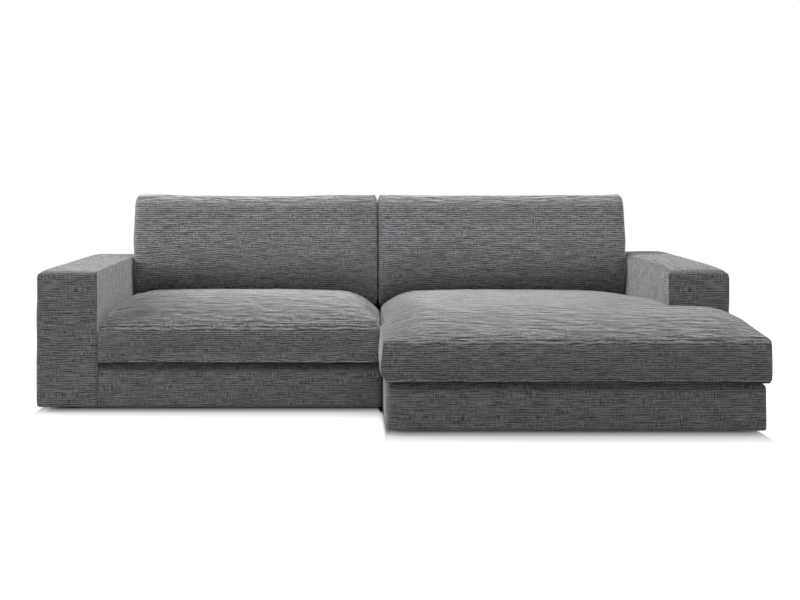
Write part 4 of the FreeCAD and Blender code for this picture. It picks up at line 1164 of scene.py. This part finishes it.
def make_row(name, path, shape, spacing, unevenness, finish, body, slot):
    """Lays a row along a path and hands it over as a piece of one body."""
    mesh = bpy.data.meshes.new(name)
    edges = [(k, k + 1) for k in range(len(path) - 1)]
    mesh.from_pydata([tuple(map(float, place)) for place in path], edges, [])
    piece = put(name, mesh)
    modifier = piece.modifiers.new("row", "NODES")
    modifier.node_group = rows
    settings = {"Shape": shape, "Spacing": spacing, "Unevenness": unevenness,
                "Finish": finishes[finish]}
    for item in rows.interface.items_tree:
        if item.in_out == "INPUT" and item.name in settings:
            modifier[item.identifier] = settings[item.name]
    bake_modifiers(piece)
    dress(piece, body, slot, [], finish)


def strip(name, path, width, thickness, across, slot, body):
    """Flat tape along a path; across is the unit vector over its width."""
    across = np.array(across, float)
    path = np.array(path, float)
    along = np.array([1.0, 0, 0])
    face = np.cross(along, across)
    low, high = path[:, None] - across * width / 2, path[:, None] + across * width / 2
    half = face * thickness / 2
    ring = np.concatenate([low - half, low + half, high + half, high - half], axis=1)
    count = len(path)
    points = ring.reshape(-1, 3)
    quads = []
    for k in range(count - 1):
        for side in range(4):
            a, b = 4 * k + side, 4 * k + (side + 1) % 4
            quads.append((a, b, b + 4, a + 4))
    quads += [(3, 2, 1, 0), tuple(4 * (count - 1) + k for k in range(4))]
    steps = np.linalg.norm(np.diff(path, axis=0), axis=1)
    run = np.repeat(np.cumsum(np.append(0, steps)), 4)
    piece = mesh_of(name, points, np.array(quads), (run, points @ across, points @ face))
    dress(piece, body, slot, [])


def pull_tab(name, place, out, down, body):
    """Zip slider: a rounded body over the teeth and a flat tab hanging from it."""
    builder = bmesh.new()
    place, out, down = (np.array(v, float) for v in (place, out, down))
    along = np.cross(down, out)
    for middle, size in ((0.0, (0.010, 0.008, 0.004)), (0.016, (0.006, 0.022, 0.0012))):
        made = bmesh.ops.create_cube(builder, size=1.0)["verts"]
        for vertex in made:
            a, b, c = vertex.co
            spot = place + down * middle + out * (0.0028 if middle == 0 else 0.0036)
            vertex.co = spot + along * a * size[0] + down * b * size[1] + out * c * size[2]
        edges = list({edge for vertex in made for edge in vertex.link_edges})
        bmesh.ops.bevel(builder, geom=edges, offset=size[2] * 0.3, segments=2, affect="EDGES")
    dress(built(name, builder), body, "zinc_steel", [])


def make_zips(unit):
    """Zips of the covers: behind the seat cushion, and under the back cushion's rear edge."""
    left, right = seat_plan(unit)[:2]
    xs = np.linspace(left + 0.09, right - 0.09, 60)
    rear = float(seat_boxes[unit][1][1])
    zip_z = z_deck + 0.075
    body = unit + "_seat_cushion"
    tape = [(x, rear + 0.0006, zip_z) for x in xs]
    teeth = [(x, rear + 0.0016, zip_z) for x in xs]
    strip(unit + "_seat_zip_tape", tape, 0.026, 0.0008, (0, 0, 1), "lining", body)
    name = unit + "_seat_zip_teeth"
    make_row(name, teeth, tooth_upright, tooth_pitch, 0.0, "glide_plastic", body, "glide_plastic")
    pull_tab(unit + "_seat_zip_slider", teeth[4], (0, 1, 0), (0, 0, -1), body)
    body = unit + "_back_cushion"
    y = back_front(z_deck + seat_side) - 0.030
    under = seat_top(unit, xs, np.full(len(xs), y)) + rest_gap
    tape = [(x, y, z - 0.0002) for x, z in zip(xs, under)]
    teeth = [(x, y, z - 0.0012) for x, z in zip(xs, under)]
    strip(unit + "_back_zip_tape", tape, 0.022, 0.0008, (0, 1, 0), "lining", body)
    name = unit + "_back_zip_teeth"
    make_row(name, teeth, tooth_flat, tooth_pitch, 0.0, "glide_plastic", body, "glide_plastic")


def make_deck_stitches(unit):
    path = deck_path(unit, lip - 0.008, z_deck + 0.0006)
    name, body = unit + "_deck_stitches", unit + "_unit"
    make_row(name, path, stitch, stitch_pitch, 0.06, "thread", body, "lining")


def make_staples(unit):
    path = deck_path(unit, 0.014, float(dust_boxes[unit][1][2]) - 0.0013)
    name, body = unit + "_dust_cloth_staples", unit + "_unit"
    make_row(name, path, staple, staple_pitch, 0.05, "zinc_steel", body, "zinc_steel")


tooth_pitch, stitch_pitch, staple_pitch = 0.0031, 0.0072, 0.042
tooth_upright = small_shape("tooth_upright", (0.0019, 0.0016, 0.0052), 0.0003)
tooth_flat = small_shape("tooth_flat", (0.0019, 0.0052, 0.0016), 0.0003)
stitch = small_shape("stitch", (0.0052, 0.0011, 0.0009), 0.0003)
staple = small_shape("staple", (0.0105, 0.0011, 0.0008), 0.0002, bend=-0.0012)

makers = (make_arm, make_back, make_base, make_deck, make_dust_cloth, make_seat, make_pillow,
          make_zips, make_deck_stitches, make_staples)
for unit in units:
    for make in makers:
        make(unit)
for shape in (tooth_upright, tooth_flat, stitch, staple):
    bpy.data.objects.remove(shape)


# Stage, lights and camera

def light_path(start, names):
    """1 where the ray is one of the kinds named, else 0."""
    path = start.make("ShaderNodeLightPath")
    total = None
    for name in names:
        kind = Value(start.tree, path.socket.node.outputs[name])
        total = kind if total is None else total.math("MAXIMUM", kind)
    return total


def unit_reach(unit):
    """Sides and depth of the floor that a unit stands over."""
    (x_low, y_low, _), (x_high, y_high, _) = (map(float, row) for row in base_boxes[unit])
    arm_low, arm_high = (float(row[0]) for row in arm_boxes[unit])
    return min(x_low, arm_low), max(x_high, arm_high), y_low, y_high


seen = ("Is Camera Ray", "Is Glossy Ray", "Is Transmission Ray")

floor_half = 9.0
floor_bounce, floor_seen = 0.42, 0.40
floor_mesh = bpy.data.meshes.new("studio_floor")
floor_signs = ((-1, -1), (1, -1), (1, 1), (-1, 1))
floor_corners = [(a * floor_half, b * floor_half, 0) for a, b in floor_signs]
floor_mesh.from_pydata(floor_corners, [], [(0, 1, 2, 3)])
floor = put("studio_floor", floor_mesh)
matt = {"Roughness": 1.0, "Specular IOR Level": 0.0, "Emission Color": (1, 1, 1, 1)}
floor_material, start, shader = new_material("studio_floor", matt)
seen_share = light_path(start, seen)
x, y, _ = split(start, "ShaderNodeTexCoord", 3)
# Distance outside each unit's plan, for a painted shadow: the floor's glow fades towards and under
# the sofa, and sideways this painted shadow ends within a few centimetres.
away = []
for unit in units:
    x_low, x_high, y_low, y_high = unit_reach(unit)
    aside = (x * -1 + x_low).math("MAXIMUM", x - x_high) * 20
    away.append(aside.math("MAXIMUM", y * -1 + y_low).math("MAXIMUM", y - y_high))
# Where the two units meet, the floor's glow is cut further: painted shade in the nook.
painted_nook_shadow = 1 - away[0].math("MAXIMUM", away[1]).smooth(0.05, 0.45)
clear = away[0].math("MINIMUM", away[1]) - painted_nook_shadow * 0.10
# Emission seen only by camera, glossy and transmission rays: a painted white floor away from the
# sofa, fading to a painted contact shadow towards and under it.
painted_floor_glow = clear.smooth(-0.12, -0.01) * 0.42 + clear.smooth(-0.01, 0.24) * 0.58
feed(shader, tint((floor_bounce,) * 3, (floor_seen,) * 3, seen_share), "Base Color")
feed(shader, seen_share * painted_floor_glow, "Emission Strength")
floor_mesh.materials.append(floor_material)

world = bpy.data.worlds.new("studio")
bpy.context.scene.world = world
world.use_nodes = True
background = world.node_tree.nodes["Background"]
background.inputs["Color"].default_value = (1, 1, 1, 1)
feed(background, light_path(Value(world.node_tree), seen), "Strength")


def soft_box(name, place, target, size, energy):
    lamp = bpy.data.lights.new(name, "AREA")
    lamp.shape = "RECTANGLE"
    lamp.size, lamp.size_y = size
    lamp.energy = energy
    holder = put(name, lamp)
    holder.location = place
    way = np.array(target, float) - np.array(place, float)
    yaw = math.atan2(way[0], -way[1])
    pitch = math.atan2(math.hypot(way[0], way[1]), -way[2])
    holder.rotation_euler = (pitch, 0, yaw + math.pi)


soft_box("overhead", (0.1, 0.3, 3.3), (0.0, 0.0, 0.4), (3.2, 2.6), 70)
soft_box("over_front", (0.0, -1.9, 3.1), (0.0, -0.2, 0.4), (3.2, 1.8), 54)
soft_box("left_high", (-4.2, -0.2, 2.2), (0.0, -0.2, 0.4), (2.2, 2.2), 168)
soft_box("right_high", (4.2, -0.2, 2.2), (0.0, -0.2, 0.4), (2.2, 2.2), 52)
soft_box("right_front", (4.0, -3.2, 1.0), (0.0, -0.4, 0.3), (2.0, 1.6), 17)

camera_data = bpy.data.cameras.new("photo")
camera_data.sensor_width = 36
camera_data.lens = 52.07
camera_data.shift_x = 0.052
camera_data.shift_y = -0.1695
camera_data.clip_end = 60
camera = put("photo", camera_data)
camera.location = (-0.115, -5.174, 1.043)
camera.rotation_euler = (math.pi / 2, 0, 0)
bpy.context.scene.camera = camera
bpy.context.scene.view_settings.view_transform = "Standard"
